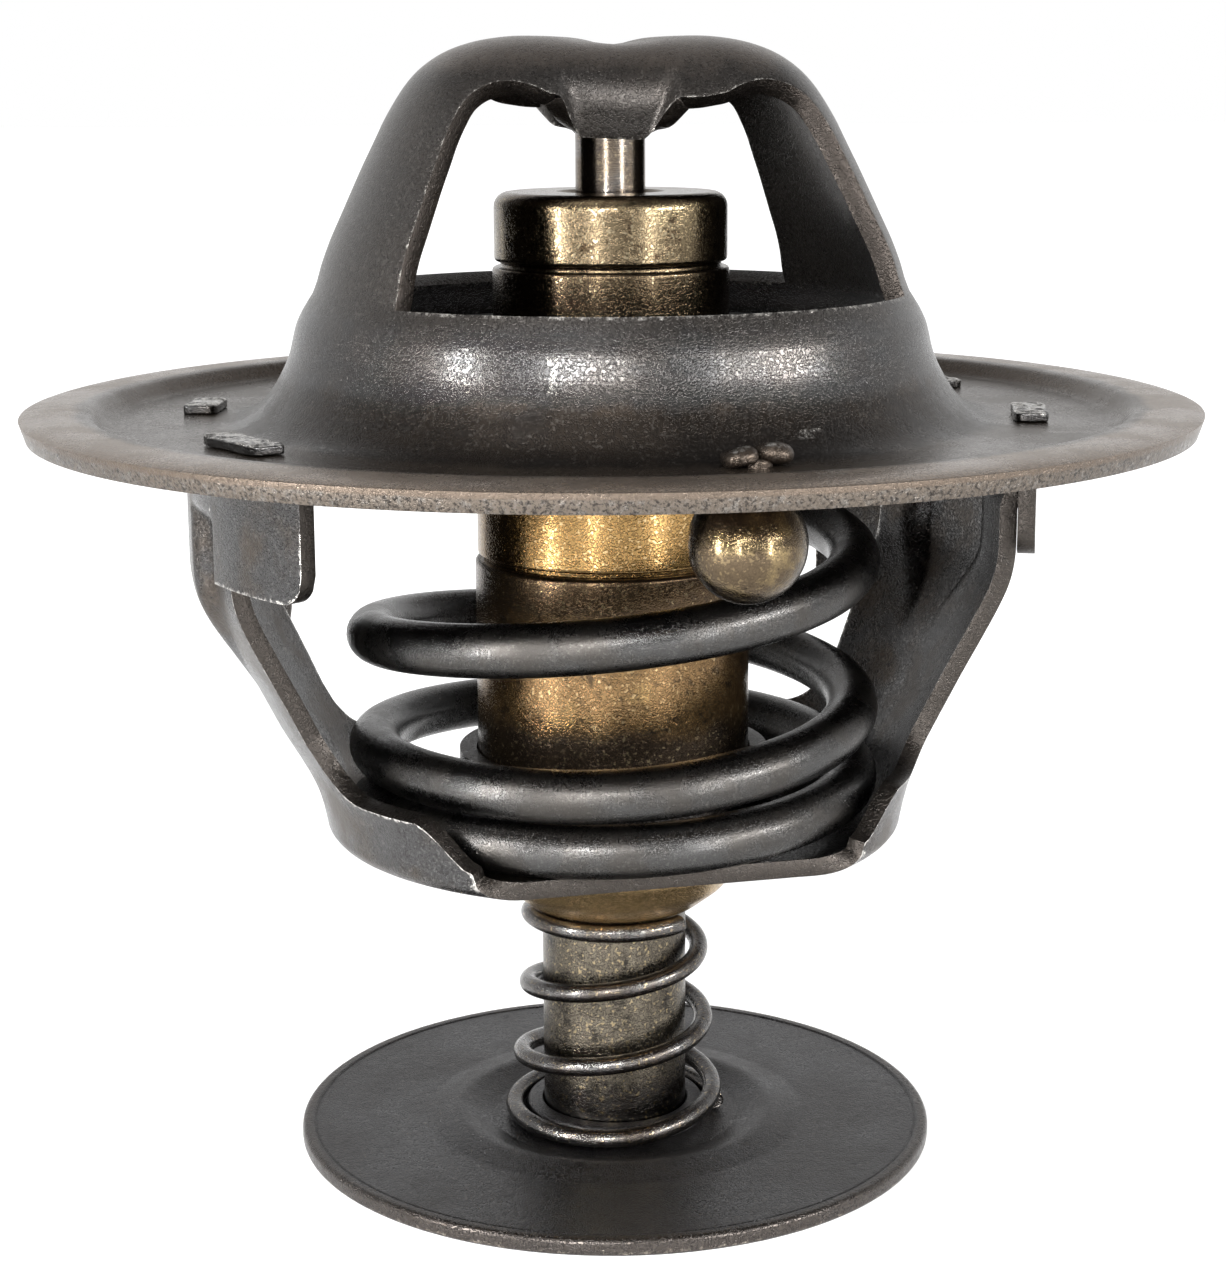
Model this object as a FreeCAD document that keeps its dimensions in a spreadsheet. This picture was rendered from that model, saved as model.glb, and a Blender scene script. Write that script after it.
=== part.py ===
import FreeCAD, Part
import math
import os
import Sketcher

# Wax-element coolant valve of the bypass type, standing on its bypass disc.
# Origin: on the axis, in the plane that the disc stands on. +Z runs up to the bridge.
# Azimuths are degrees about +Z from +X. The photograph's viewer stands on the -Y side.

doc = FreeCAD.newDocument("coolant_valve")
sheet = doc.addObject("Spreadsheet::Sheet", "Sizes")

# Driving dimensions: alias, value in mm or degrees, meaning
DRIVING_SIZES = [
    ("flange_radius", 33.5, "outer radius of the flange"),
    ("rim_height", 44.5, "top of the flange's raised rim above the standing plane"),
    ("flange_sheet", 1.1, "sheet of the upper pressing"),
    ("rim_band_width", 4.2, "width of the raised rim band"),
    ("rim_step_run", 1.1, "how far the step from rim to channel runs"),
    ("channel_depth", 0.9, "channel floor below the rim"),
    ("collar_foot_step", 2.25, "from the lip's radius out to the corner of channel floor and wall"),
    ("collar_foot_fillet", 3.9, "bell fillet at the collar's foot"),
    ("collar_shoulder_step", 1.0, "from the lip's radius out to where the collar turns in"),
    ("collar_shoulder_rise", 4.6, "height of that turn above the rim"),
    ("collar_shoulder_fillet", 2.5, "fillet of that turn"),
    ("collar_lip_radius", 16.95, "outer radius at the collar's cut lip"),
    ("collar_lip_rise", 6.2, "height of the lip above the rim"),
    ("rim_crease_fillet", 1.2, "fillet where the rim steps down"),
    ("rim_edge_fillet", 0.3, "rounding of the flange's outer edges"),
    ("bridge_azimuth", 15.5, "direction of the bridge's right leg"),
    ("bridge_corner_rise", 20.6, "height of the bridge's corner above the rim"),
    ("bridge_saddle_rise", 20.2, "height of the bridge at the axis above the rim"),
    ("bridge_corner_reach", 10.4, "distance of the bridge's corner from the axis"),
    ("bridge_corner_fillet", 6.0, "rounding of the bridge's corner"),
    ("bridge_saddle_fillet", 25.0, "rounding of the bridge's dip at the axis"),
    ("bridge_base_half_width", 9.0, "half width of a leg at the lip"),
    ("bridge_top_half_width", 5.5, "half width of the cross-piece"),
    ("bridge_top_arch", 7.5, "radius of the cross-piece's arched section"),
    ("bridge_arch_growth", 0.6, "power by which the section's arch grows towards the lip"),
    ("bridge_stations", 19, "cross-sections of the bridge from lip to lip"),
    ("nose_rise", 15.0, "underside of the pressed nose above the rim"),
    ("nose_tip_half_width", 2.2, "half width of the nose at its tip"),
    ("nose_root_half_width", 3.1, "half width of the nose at its root"),
    ("nose_half_depth", 5.0, "half depth of the nose, front to back"),
    ("socket_depth", 2.3, "how far the piston sits in the nose"),
    ("cage_azimuth", 14.5, "direction of the cage's right leg"),
    ("cage_sheet", 1.0, "sheet of the lower pressing"),
    ("cage_leg_radius", 23.4, "outer radius of the legs below the flange"),
    ("cage_bend_drop", 9.6, "from the rim down to where the legs bend inwards"),
    ("cage_waist_step", 0.9, "from the cup's corner radius out to where the legs meet the cup"),
    ("cage_waist_drop", 22.9, "from the rim down to where the legs meet the cup"),
    ("cage_cup_radius", 16.3, "outer corner radius of the cup's floor"),
    ("cage_floor_drop", 25.6, "from the rim down to the underside of the cup's floor"),
    ("cage_bend_fillet", 4.0, "bend radius at the top of the legs"),
    ("cage_cup_fillet", 2.2, "bend radius around the cup's floor"),
    ("neck_fillet", 2.0, "lead-in radius under the neck"),
    ("neck_top_drop", 20.6, "from the rim down to the top of the drawn neck"),
    ("cup_wall_drop", 21.4, "from the rim down to the top edge of the cup's side walls"),
    ("cup_slope_start", 11.2, "half width where that edge starts to fall"),
    ("cup_half_width", 12.9, "half width of the cup's cut floor"),
    ("cup_slope_drop", 23.9, "from the rim down to where the falling edge ends"),
    ("left_leg_front_angle", 12.5, "degrees from the cage axis to the left leg's front edge"),
    ("left_leg_rear_angle", 30.0, "degrees from the cage axis to the left leg's rear edge"),
    ("right_leg_front_angle", 19.5, "degrees from the cage axis to the right leg's front edge"),
    ("right_leg_rear_angle", 25.5, "degrees from the cage axis to the right leg's rear edge"),
    ("leg_corner_fillet", 3.0, "rounded inner corner of leg and cup wall"),
    ("pocket_depth", 1.0, "how far the stiffening pocket stands out of a leg"),
    ("pocket_foot_depth", 0.2, "how far it stands out at its lower end"),
    ("pocket_angle", 7.5, "degrees from the cage axis to a pocket's middle"),
    ("pocket_half_angle", 11.0, "half width of a pocket in degrees"),
    ("pocket_foot_drop", 14.6, "from the rim down to a pocket's lower end"),
    ("band_foot_drop", 4.6, "from the rim down to the lower edge of the band over wings and legs"),
    ("left_front_wing_angle", 34.5, "degrees to the free edge of the left front wing"),
    ("left_rear_wing_angle", 44.5, "degrees to the free edge of the left rear wing"),
    ("right_front_wing_angle", 26.5, "degrees to the free edge of the right front wing"),
    ("right_rear_wing_angle", 40.5, "degrees to the free edge of the right rear wing"),
    ("front_wing_drop", 8.6, "from the rim down to the lower edge of the front wings"),
    ("rear_wing_drop", 16.1, "from the rim down to the lower edge of the rear wings"),
    ("wing_corner", 1.6, "rounded free corner of a wing"),
    ("wing_slit", 0.4, "slit between a wing and its leg"),
    ("tab_angle", 20.0, "degrees from the cage axis to a staked tab"),
    ("tab_width", 5.0, "width of a tab where it passes the flange"),
    ("tab_clearance", 0.05, "gap around a tab in its slot"),
    ("tab_head_width", 5.6, "width of a staked head"),
    ("tab_head_depth", 1.9, "depth of a staked head"),
    ("tab_head_rise", 0.55, "height of a staked head above the channel"),
    ("piston_radius", 2.0, "radius of the piston"),
    ("piston_foot_drop", 21.5, "from the rim down to the lower tip of the piston"),
    ("piston_clearance", 0.05, "radial running gap of the piston"),
    ("soft_edge", 0.3, "chamfer or rounding of small turned edges"),
    ("cap_radius", 6.66, "outer radius of the brass cap"),
    ("cap_top_rise", 11.8, "top of the brass cap above the rim"),
    ("cap_height", 3.9, "height of the brass cap"),
    ("cap_wall", 1.5, "wall of the brass cap"),
    ("cap_shoulder_fillet", 0.7, "rounded top edge of the cap"),
    ("seam_gap", 0.3, "height of the visible seam grooves"),
    ("seam_depth", 0.35, "depth of the visible seam grooves"),
    ("guide_neck_radius", 6.77, "guide body above the valve plate"),
    ("guide_radius", 7.85, "guide body below the valve plate"),
    ("guide_foot_drop", 8.9, "from the rim down to the lower edge of the guide body's skirt"),
    ("wax_cup_radius", 8.0, "outer radius of the wax cup"),
    ("wax_cup_wall", 1.1, "wall of the wax cup"),
    ("bowl_top_drop", 26.2, "from the rim down to where the wax cup starts to narrow"),
    ("bowl_foot_drop", 30.2, "from the rim down to the flat underside of the wax cup"),
    ("bowl_foot_radius", 5.3, "radius of that flat"),
    ("bowl_top_fillet", 2.5, "rounding where the cup narrows"),
    ("bowl_foot_fillet", 0.8, "rounding around the flat"),
    ("spigot_length", 1.7, "spigot of the guide body inside the wax cup"),
    ("boot_radius", 3.4, "outer radius of the rubber boot"),
    ("boot_collar", 1.0, "thickness of the boot's clamped collar"),
    ("boot_end_wall", 2.0, "closed end of the boot"),
    ("boot_slack", 0.5, "space under the piston's tip"),
    ("boot_washer_height", 1.5, "height of the stiff washer above the boot"),
    ("wax_floor", 2.4, "solid bottom of the wax cup"),
    ("neck_clearance", 0.1, "radial running gap of the wax cup in the neck"),
    ("plate_sheet", 1.0, "sheet of the main valve plate"),
    ("plate_rise", 1.8, "underside of the main valve plate above the rim"),
    ("plate_inset", 1.0, "from the lip's radius in to the plate inside its seal"),
    ("seal_width", 0.8, "radial width of the rubber seal"),
    ("seal_height", 1.8, "height of the rubber seal"),
    ("ring_height", 0.8, "thickness of the snap ring"),
    ("ring_width", 1.6, "radial width of the snap ring"),
    ("ring_groove", 0.5, "depth of the snap ring's groove"),
    ("main_wire", 3.0, "wire of the main spring"),
    ("main_coil_inset", 2.2, "from the cup's corner radius in to the main spring's wire"),
    ("main_pitch", 8.51, "pitch of the first open coil"),
    ("main_head_pitch", 9.5, "pitch of the open coils above it"),
    ("main_end_gap", 0.05, "gap between the closed coils"),
    ("coil_steps", 20, "points of a coil's centre line in one turn"),
    ("spring_seat_gap", 0.05, "gap between a spring's end and the moving piece it meets"),
    ("main_tail_turns", 0.22, "ground tail at each end, in turns"),
    ("stem_radius", 4.3, "radius of the bypass stem"),
    ("stem_foot_height", 0.25, "lower end of the stem"),
    ("stem_spigot_radius", 2.6, "spigot of the stem in the wax cup"),
    ("stem_spigot_height", 1.4, "height of that spigot"),
    ("disc_radius", 19.0, "radius of the bypass disc"),
    ("disc_rim", 1.0, "thickness of the bypass disc at its rim"),
    ("disc_rim_width", 0.8, "width of the thick rim"),
    ("disc_web_top", 0.9, "top of the disc's web"),
    ("disc_web_foot", 0.14, "underside of the disc's web"),
    ("hump_radius", 9.3, "crest of the ring pressed up around the spring seat"),
    ("hump_rise", 0.45, "height of that crest above the web"),
    ("hump_half_width", 1.9, "half width of that ring"),
    ("seat_radius", 7.2, "radius of the sunk spring seat"),
    ("seat_top", 0.75, "top of the spring seat"),
    ("seat_foot", 0.06, "underside of the spring seat"),
    ("boss_radius", 5.35, "radius of the raised middle of the disc"),
    ("boss_wall", 0.4, "wall around the pocket under the raised middle"),
    ("boss_top", 1.75, "top of the raised middle"),
    ("boss_foot", 1.05, "underside of the raised middle"),
    ("stem_clearance", 0.08, "radial running gap of the disc on the stem"),
    ("clip_height", 0.45, "thickness of the retaining clip"),
    ("clip_width", 1.15, "radial width of the retaining clip"),
    ("clip_groove", 0.6, "depth of the clip's groove"),
    ("bypass_wire", 1.1, "wire of the bypass spring"),
    ("bypass_foot_radius", 6.1, "mean radius of the bypass spring's lowest coil"),
    ("bypass_head_radius", 5.05, "mean radius of its top coil"),
    ("bypass_pitch", 4.45, "pitch of its open coils"),
    ("bypass_tail_turns", 0.75, "flat tail at its foot, in turns"),
    ("bypass_head_tail_turns", 0.35, "flat tail at its head, in turns"),
    ("bleed_azimuth", 288.9, "direction of the air-bleed hole"),
    ("bleed_offset", 3.0, "from the collar's foot corner out to the air-bleed hole"),
    ("bleed_hole_radius", 1.3, "radius of the air-bleed hole"),
    ("bleed_seat_radius", 2.35, "radius of the ball's countersunk seat"),
    ("bleed_seat_depth", 0.7, "depth of that countersink"),
    ("bleed_lean_angle", 7.0, "lean of the loose pin in degrees"),
    ("bleed_ball_radius", 3.07, "radius of the air-bleed ball"),
    ("bleed_lift", 0.85, "how far the ball hangs below its seat"),
    ("bleed_pin_radius", 0.8, "radius of the split pin"),
    ("bleed_fit", 0.02, "gap around the pin in the ball's bore"),
    ("bleed_tip_radius", 0.8, "radius of the pin's spread tips"),
    ("bleed_tip_offset", 0.85, "distance of each tip from the pin's axis"),
    ("bleed_tip_height", 1.0, "height of the tips above the channel"),
    ("bleed_bar_radius", 0.64, "radius of the bar between the tips"),
    ("bleed_gap", 0.12, "gap under the tips where they rest"),
]

# Radii and heights that follow from them: alias, formula, meaning
TIED_SIZES = [
    ("rim_band_radius", "flange_radius - rim_band_width", "inner edge of the raised rim band"),
    ("channel_radius", "rim_band_radius - rim_step_run", "outer edge of the sunk channel"),
    ("collar_foot_radius", "collar_lip_radius + collar_foot_step", "corner of channel and collar wall"),
    ("collar_shoulder_radius", "collar_lip_radius + collar_shoulder_step", "collar radius at its shoulder"),
    ("plate_radius", "collar_lip_radius - plate_inset", "outer radius of the plate inside its seal"),
    ("cage_waist_radius", "cage_cup_radius + cage_waist_step", "outer radius where the legs meet the cup"),
    ("main_coil_radius", "cage_cup_radius - main_coil_inset", "mean radius of the main spring"),
    ("bleed_distance", "collar_foot_radius + bleed_offset", "distance of the air-bleed hole from the axis"),
    ("plate_height", "rim_height + plate_rise", "underside of the main valve plate"),
    ("cap_top_height", "rim_height + cap_top_rise", "top of the brass cap"),
    ("cage_bend_height", "rim_height - cage_bend_drop", "height where the legs bend inwards"),
    ("cage_waist_height", "rim_height - cage_waist_drop", "height of that place"),
    ("cage_floor_height", "rim_height - cage_floor_drop", "underside of the cup's floor"),
    ("neck_top_height", "rim_height - neck_top_drop", "top of the drawn neck"),
    ("cup_wall_height", "rim_height - cup_wall_drop", "top edge of the cup's side walls"),
    ("cup_slope_foot", "rim_height - cup_slope_drop", "height where the falling edge ends"),
    ("pocket_foot_height", "rim_height - pocket_foot_drop", "lower end of a pocket"),
    ("band_foot_height", "rim_height - band_foot_drop", "lower edge of the band that joins wings and legs"),
    ("front_wing_height", "rim_height - front_wing_drop", "lower edge of the front wings"),
    ("rear_wing_height", "rim_height - rear_wing_drop", "lower edge of the rear wings"),
    ("piston_foot_height", "rim_height - piston_foot_drop", "lower tip of the piston"),
    ("guide_foot_height", "rim_height - guide_foot_drop", "lower edge of the guide body's skirt"),
    ("bowl_top_height", "rim_height - bowl_top_drop", "where the wax cup starts to narrow"),
    ("bowl_foot_height", "rim_height - bowl_foot_drop", "flat underside of the wax cup"),
    ("cap_foot_height", "cap_top_height - cap_height", "lower edge of the brass cap"),
]

rows = [(alias, str(value), meaning) for alias, value, meaning in DRIVING_SIZES]
rows += [(alias, f"={formula}", meaning) for alias, formula, meaning in TIED_SIZES]
for row, (alias, content, meaning) in enumerate(rows, start=1):
    sheet.set(f"A{row}", alias)
    sheet.set(f"B{row}", content)
    sheet.set(f"C{row}", meaning)
    sheet.setAlias(f"B{row}", alias)
doc.recompute()


class Size:
    """A length that knows its number and the sheet formula that gives it."""

    def __init__(self, number, formula):
        self.number = float(number)
        self.formula = formula

    def __add__(self, other):
        other = as_size(other)
        return Size(self.number + other.number, f"({self.formula} + {other.formula})")

    def __sub__(self, other):
        other = as_size(other)
        return Size(self.number - other.number, f"({self.formula} - {other.formula})")


def as_size(value):
    """Turns a plain number into a Size, and leaves a Size as it is."""
    return value if isinstance(value, Size) else Size(value, str(value))


def size(alias):
    """The sheet's cell of that alias as a Size."""
    return Size(sheet.get(alias), f"Sizes.{alias}")


def number(alias):
    """The sheet's cell of that alias as a plain number."""
    return float(sheet.get(alias))


# Heights and radii that several pieces share
rim_height = size("rim_height")
channel_height = rim_height - size("channel_depth")
flange_underside = channel_height - size("flange_sheet")
nose_underside = rim_height + size("nose_rise")
cage_floor_top = size("cage_floor_height") + size("cage_sheet")
neck_bore = size("wax_cup_radius") + size("neck_clearance")
piston_bore = size("piston_radius") + size("piston_clearance")
plate_top = size("plate_height") + size("plate_sheet")
ring_top = plate_top + size("ring_height")
wax_cup_top = size("guide_foot_height") - size("seam_gap")
wax_cup_bore = size("wax_cup_radius") - size("wax_cup_wall")
spigot_foot = wax_cup_top - size("spigot_length")
boot_collar_foot = spigot_foot - size("boot_collar")
boot_bore_foot = size("piston_foot_height") - size("boot_slack")
boot_foot = boot_bore_foot - size("boot_end_wall")
wax_floor_top = size("bowl_foot_height") + size("wax_floor")
guide_top = size("cap_foot_height") - size("seam_gap")
spigot_top = guide_top + size("cap_wall")
clip_top = size("boss_foot")
clip_foot = clip_top - size("clip_height")
clip_bore = size("stem_radius") - size("clip_groove")
bleed_seat_drop = math.sqrt(number("bleed_ball_radius") ** 2 - number("bleed_seat_radius") ** 2)

AXIS_FOOT = FreeCAD.Vector(0, 0, 0)
UP = FreeCAD.Vector(0, 0, 1)


def origin_plane(body, role):
    """One of a body's own three origin planes."""
    return next(plane for plane in body.Origin.OriginFeatures if plane.Role == role)


def hold_vertex(sketch, line, end, label, place):
    """Ties one end of a sketch line to its radius and height."""
    radius, height = (as_size(value) for value in place)
    for name, kind, value, axis in (
        (f"radius_{label}", "DistanceX", radius, -2),
        (f"height_{label}", "DistanceY", height, -1),
    ):
        if value.number == 0:
            sketch.addConstraint(Sketcher.Constraint("PointOnObject", line, end, axis))
            continue
        index = sketch.addConstraint(Sketcher.Constraint(kind, -1, 1, line, end, value.number))
        sketch.renameConstraint(index, name)
        sketch.setExpression(f"Constraints.{name}", value.formula)


def turned_body(name, profile):
    """A body turned about Z from a closed outline of (radius, height) corners."""
    body = doc.addObject("PartDesign::Body", name)
    sketch = body.newObject("Sketcher::SketchObject", f"{name}_outline")
    sketch.AttachmentSupport = [(origin_plane(body, "XZ_Plane"), "")]
    sketch.MapMode = "FlatFace"
    corners = [
        FreeCAD.Vector(as_size(radius).number, as_size(height).number, 0)
        for radius, height in profile
    ]
    count = len(corners)
    for index in range(count):
        sketch.addGeometry(Part.LineSegment(corners[index], corners[(index + 1) % count]), False)
    for index in range(count):
        sketch.addConstraint(Sketcher.Constraint("Coincident", index, 2, (index + 1) % count, 1))
        hold_vertex(sketch, index, 1, index, profile[index])
    turning = body.newObject("PartDesign::Revolution", f"{name}_turning")
    turning.Profile = sketch
    turning.ReferenceAxis = (sketch, ["V_Axis"])
    turning.Angle = 360.0
    body.Tip = turning
    doc.recompute()
    return body


def rounded(body, name, radius_alias, places, kind="PartDesign::Fillet"):
    """Rounds (or chamfers) the circular edges at the given (radius, height) places."""
    base = body.Tip
    edges = []
    for radius, height in places:
        for index, edge in enumerate(base.Shape.Edges, start=1):
            curve = edge.Curve
            if not isinstance(curve, Part.Circle):
                continue
            if abs(curve.Radius - as_size(radius).number) > 1e-4:
                continue
            if abs(curve.Center.z - as_size(height).number) < 1e-4:
                edges.append(f"Edge{index}")
    feature = body.newObject(kind, name)
    feature.Base = (base, edges)
    sized_property = "Radius" if kind.endswith("Fillet") else "Size"
    feature.setExpression(sized_property, f"Sizes.{radius_alias}")
    body.Tip = feature
    doc.recompute()
    return body


def section_point(radius, height):
    """A point of a turning section, in the XZ plane."""
    return FreeCAD.Vector(radius, 0, height)


def rounded_path(points, radii):
    """Edges of an open path through the points, with its inner corners rounded."""
    edges = []
    start = points[0]
    for corner, radius, following in zip(points[1:-1], radii, points[2:]):
        before = (start - corner).normalize()
        after = (following - corner).normalize()
        half_turn = (math.pi - before.getAngle(after)) / 2
        if radius <= 0 or half_turn < 1e-6:
            edges.append(Part.LineSegment(start, corner).toShape())
            start = corner
            continue
        tangent = radius * math.tan(half_turn)
        arc_start = corner + before * tangent
        arc_end = corner + after * tangent
        bisector = (before + after).normalize()
        arc_middle = corner + bisector * (radius / math.cos(half_turn) - radius)
        edges.append(Part.LineSegment(start, arc_start).toShape())
        edges.append(Part.Arc(arc_start, arc_middle, arc_end).toShape())
        start = arc_end
    edges.append(Part.LineSegment(start, points[-1]).toShape())
    return edges


def left_of(direction):
    """The unit vector to the left of a direction in the XZ plane."""
    return FreeCAD.Vector(-direction.z, 0, direction.x)


def offset_corners(points, thickness):
    """The path moved to its left by the sheet's thickness, with mitred corners."""
    directions = [(b - a).normalize() for a, b in zip(points, points[1:])]
    moved = [points[0] + left_of(directions[0]) * thickness]
    for corner, before, after in zip(points[1:-1], directions, directions[1:]):
        bisector = (left_of(before) + left_of(after)).normalize()
        moved.append(corner + bisector * (thickness / bisector.dot(left_of(after))))
    moved.append(points[-1] + left_of(directions[-1]) * thickness)
    return moved


def sheet_face(points, radii, thickness, level_end=False):
    """A sheet's section: the rounded path and its offset to the left, closed at both ends.

    With level_end the far end is cut level instead of square to the sheet.
    """
    far_side = offset_corners(points, thickness)
    if level_end:
        direction = far_side[-1] - far_side[-2]
        reach = (points[-1].z - far_side[-2].z) / direction.z
        far_side[-1] = far_side[-2] + direction * reach
    far_radii = []
    for before, corner, after, radius in zip(points, points[1:], points[2:], radii):
        turn = left_of(corner - before).dot(after - corner)
        far_radii.append(radius - thickness if turn > 0 else radius + thickness)
    near_edges = rounded_path(points, radii)
    far_edges = rounded_path(far_side, far_radii)
    ends = [
        Part.LineSegment(points[0], far_side[0]).toShape(),
        Part.LineSegment(points[-1], far_side[-1]).toShape(),
    ]
    outline = Part.Wire(Part.__sortEdges__(near_edges + far_edges + ends))
    return Part.Face(outline)


def turned_sheet(points, radii, thickness, level_end=False):
    """A sheet pressing turned about Z from its section."""
    return sheet_face(points, radii, thickness, level_end).revolve(AXIS_FOOT, UP, 360)


def ring_sector(corners, start_azimuth, end_azimuth):
    """Part of a ring: a closed outline of (radius, height) corners turned between azimuths."""
    points = [section_point(*corner) for corner in corners]
    face = Part.Face(Part.makePolygon(points + [points[0]]))
    face.rotate(AXIS_FOOT, UP, start_azimuth)
    return face.revolve(AXIS_FOOT, UP, end_azimuth - start_azimuth)


def polar(distance, azimuth, height):
    """The point at that distance and azimuth."""
    angle = math.radians(azimuth)
    return FreeCAD.Vector(distance * math.cos(angle), distance * math.sin(angle), height)


def turned_block(width, depth, foot, top, distance, azimuth):
    """A block that lies square to a radius: width across it and depth along it."""
    block = Part.makeBox(depth, width, top - foot)
    block.translate(FreeCAD.Vector(distance - depth / 2, -width / 2, foot))
    block.rotate(AXIS_FOOT, UP, azimuth)
    return block


def add_shape(name, shape):
    """Puts a finished shape into the document as a node of its own."""
    node = doc.addObject("Part::Feature", name)
    node.Label = name
    node.Shape = shape
    node.Placement = FreeCAD.Placement()
    return node


def tab_azimuths():
    """Where the four staked tabs pass through the flange."""
    right = number("cage_azimuth")
    turn = number("tab_angle")
    return [right - turn, right + turn, right + 180 - turn, right + 180 + turn]


# Upper pressing: flange, collar and bridge

def flange_and_collar():
    """Rim band, sunk channel and bell-shaped collar, with slots and the bleed hole."""
    rim = number("rim_height")
    channel = channel_height.number
    sheet_thickness = number("flange_sheet")
    path = [
        section_point(number("flange_radius"), rim),
        section_point(number("rim_band_radius"), rim),
        section_point(number("channel_radius"), channel),
        section_point(number("collar_foot_radius"), channel),
        section_point(number("collar_shoulder_radius"), rim + number("collar_shoulder_rise")),
        section_point(number("collar_lip_radius"), rim + number("collar_lip_rise")),
    ]
    radii = [
        number("rim_crease_fillet"),
        number("rim_crease_fillet"),
        number("collar_foot_fillet"),
        number("collar_shoulder_fillet"),
    ]
    shape = turned_sheet(path, radii, sheet_thickness, level_end=True)
    edges = [
        edge for edge in shape.Edges
        if isinstance(edge.Curve, Part.Circle)
        and abs(edge.Curve.Radius - number("flange_radius")) < 1e-4
    ]
    shape = shape.makeFillet(number("rim_edge_fillet"), edges)
    cuts = [slot(azimuth) for azimuth in tab_azimuths()]
    hole = Part.makeCylinder(
        number("bleed_hole_radius"),
        3 * sheet_thickness,
        polar(number("bleed_distance"), number("bleed_azimuth"), channel - 2 * sheet_thickness),
    )
    seat = Part.makeCone(
        number("bleed_seat_radius"),
        number("bleed_hole_radius"),
        number("bleed_seat_depth"),
        polar(number("bleed_distance"), number("bleed_azimuth"), flange_underside.number),
    )
    return shape.cut(cuts + [hole, seat])


def slot(azimuth):
    """The slot of one staked tab."""
    clearance = number("tab_clearance")
    sheet_thickness = number("flange_sheet")
    middle = number("cage_leg_radius") + number("cage_sheet") / 2
    return turned_block(
        number("tab_width") + 2 * clearance,
        number("cage_sheet") + 2 * clearance,
        channel_height.number - 2 * sheet_thickness,
        channel_height.number + sheet_thickness,
        middle,
        azimuth,
    )


def bridge_section(place, tangent, height_share):
    """One cross-section of the bridge: an arched strip, square to the bridge's path.

    height_share is 1 at the collar's lip and 0 at the top.
    """
    thickness = number("flange_sheet")
    lip = number("collar_lip_radius")
    half_width = number("bridge_top_half_width") + height_share * (
        number("bridge_base_half_width") - number("bridge_top_half_width")
    )
    arch = number("bridge_top_arch") + height_share ** number("bridge_arch_growth") * (
        lip - number("bridge_top_arch")
    )
    inward = FreeCAD.Vector(tangent.z, 0, -tangent.x)
    centre = place + inward * arch
    half_angle = math.asin(half_width / arch)

    def arch_point(radius, angle):
        across = FreeCAD.Vector(0, radius * math.sin(angle), 0)
        return centre - inward * (radius * math.cos(angle)) + across

    inner = arch - thickness
    if height_share >= 1:
        inner = arch - lip_thickness()
    outer_arc = Part.Arc(
        arch_point(arch, -half_angle), arch_point(arch, 0), arch_point(arch, half_angle)
    ).toShape()
    inner_arc = Part.Arc(
        arch_point(inner, half_angle), arch_point(inner, 0), arch_point(inner, -half_angle)
    ).toShape()
    side = Part.LineSegment(arch_point(arch, half_angle), arch_point(inner, half_angle)).toShape()
    back = Part.LineSegment(arch_point(inner, -half_angle), arch_point(arch, -half_angle)).toShape()
    return Part.Wire([outer_arc, side, inner_arc, back])


def lip_thickness():
    """The sheet's width where the collar's lip is cut level."""
    shoulder_run = number("collar_shoulder_radius") - number("collar_lip_radius")
    shoulder_climb = number("collar_lip_rise") - number("collar_shoulder_rise")
    lean = math.atan2(shoulder_run, shoulder_climb)
    return number("flange_sheet") / math.cos(lean)


def bridge():
    """The strap over the collar, lofted along its path from lip to lip."""
    rim = number("rim_height")
    lip_height = rim + number("collar_lip_rise")
    lip = number("collar_lip_radius")
    corner_height = rim + number("bridge_corner_rise")
    corner_reach = number("bridge_corner_reach")
    saddle = section_point(0, rim + number("bridge_saddle_rise"))
    path_edges = rounded_path(
        [
            section_point(-lip, lip_height),
            section_point(-corner_reach, corner_height),
            saddle,
            section_point(corner_reach, corner_height),
            section_point(lip, lip_height),
        ],
        [
            number("bridge_corner_fillet"),
            number("bridge_saddle_fillet"),
            number("bridge_corner_fillet"),
        ],
    )
    stations = int(number("bridge_stations"))
    places = Part.Wire(path_edges).discretize(Number=stations)
    top_height = max(place.z for place in places)
    sections = []
    for index, place in enumerate(places):
        if index == 0:
            tangent = FreeCAD.Vector(0, 0, 1)
        elif index == stations - 1:
            tangent = FreeCAD.Vector(0, 0, -1)
        else:
            tangent = (places[index + 1] - places[index - 1]).normalize()
        share = (top_height - place.z) / (top_height - lip_height)
        sections.append(bridge_section(place, tangent, share))
    return Part.makeLoft(sections, True, False)


def nose():
    """The nose pressed down from the cross-piece, with the piston's socket."""
    underside = nose_underside.number
    root_height = number("rim_height") + number("bridge_saddle_rise")
    tip = number("nose_tip_half_width")
    root = number("nose_root_half_width")
    half_depth = number("nose_half_depth")
    outline = [(-tip, underside), (tip, underside), (root, root_height), (-root, root_height)]
    points = [FreeCAD.Vector(across, -half_depth, height) for across, height in outline]
    block = Part.Face(Part.makePolygon(points + [points[0]])).extrude(
        FreeCAD.Vector(0, 2 * half_depth, 0)
    )
    arch = number("bridge_top_arch")
    below_skin = number("flange_sheet") / 4
    arch_top = Part.makeCylinder(
        arch - below_skin,
        2 * root,
        FreeCAD.Vector(-root, 0, root_height - arch),
        FreeCAD.Vector(1, 0, 0),
    )
    return block.common(arch_top)


def upper_frame():
    """The whole upper pressing."""
    strap = bridge().fuse(nose())
    strap.rotate(AXIS_FOOT, UP, number("bridge_azimuth"))
    shape = flange_and_collar().fuse(strap)
    socket = Part.makeCylinder(
        number("piston_radius"),
        number("socket_depth"),
        FreeCAD.Vector(0, 0, nose_underside.number),
    )
    return shape.cut(socket).removeSplitter()


# Lower pressing: the spring cage

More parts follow.
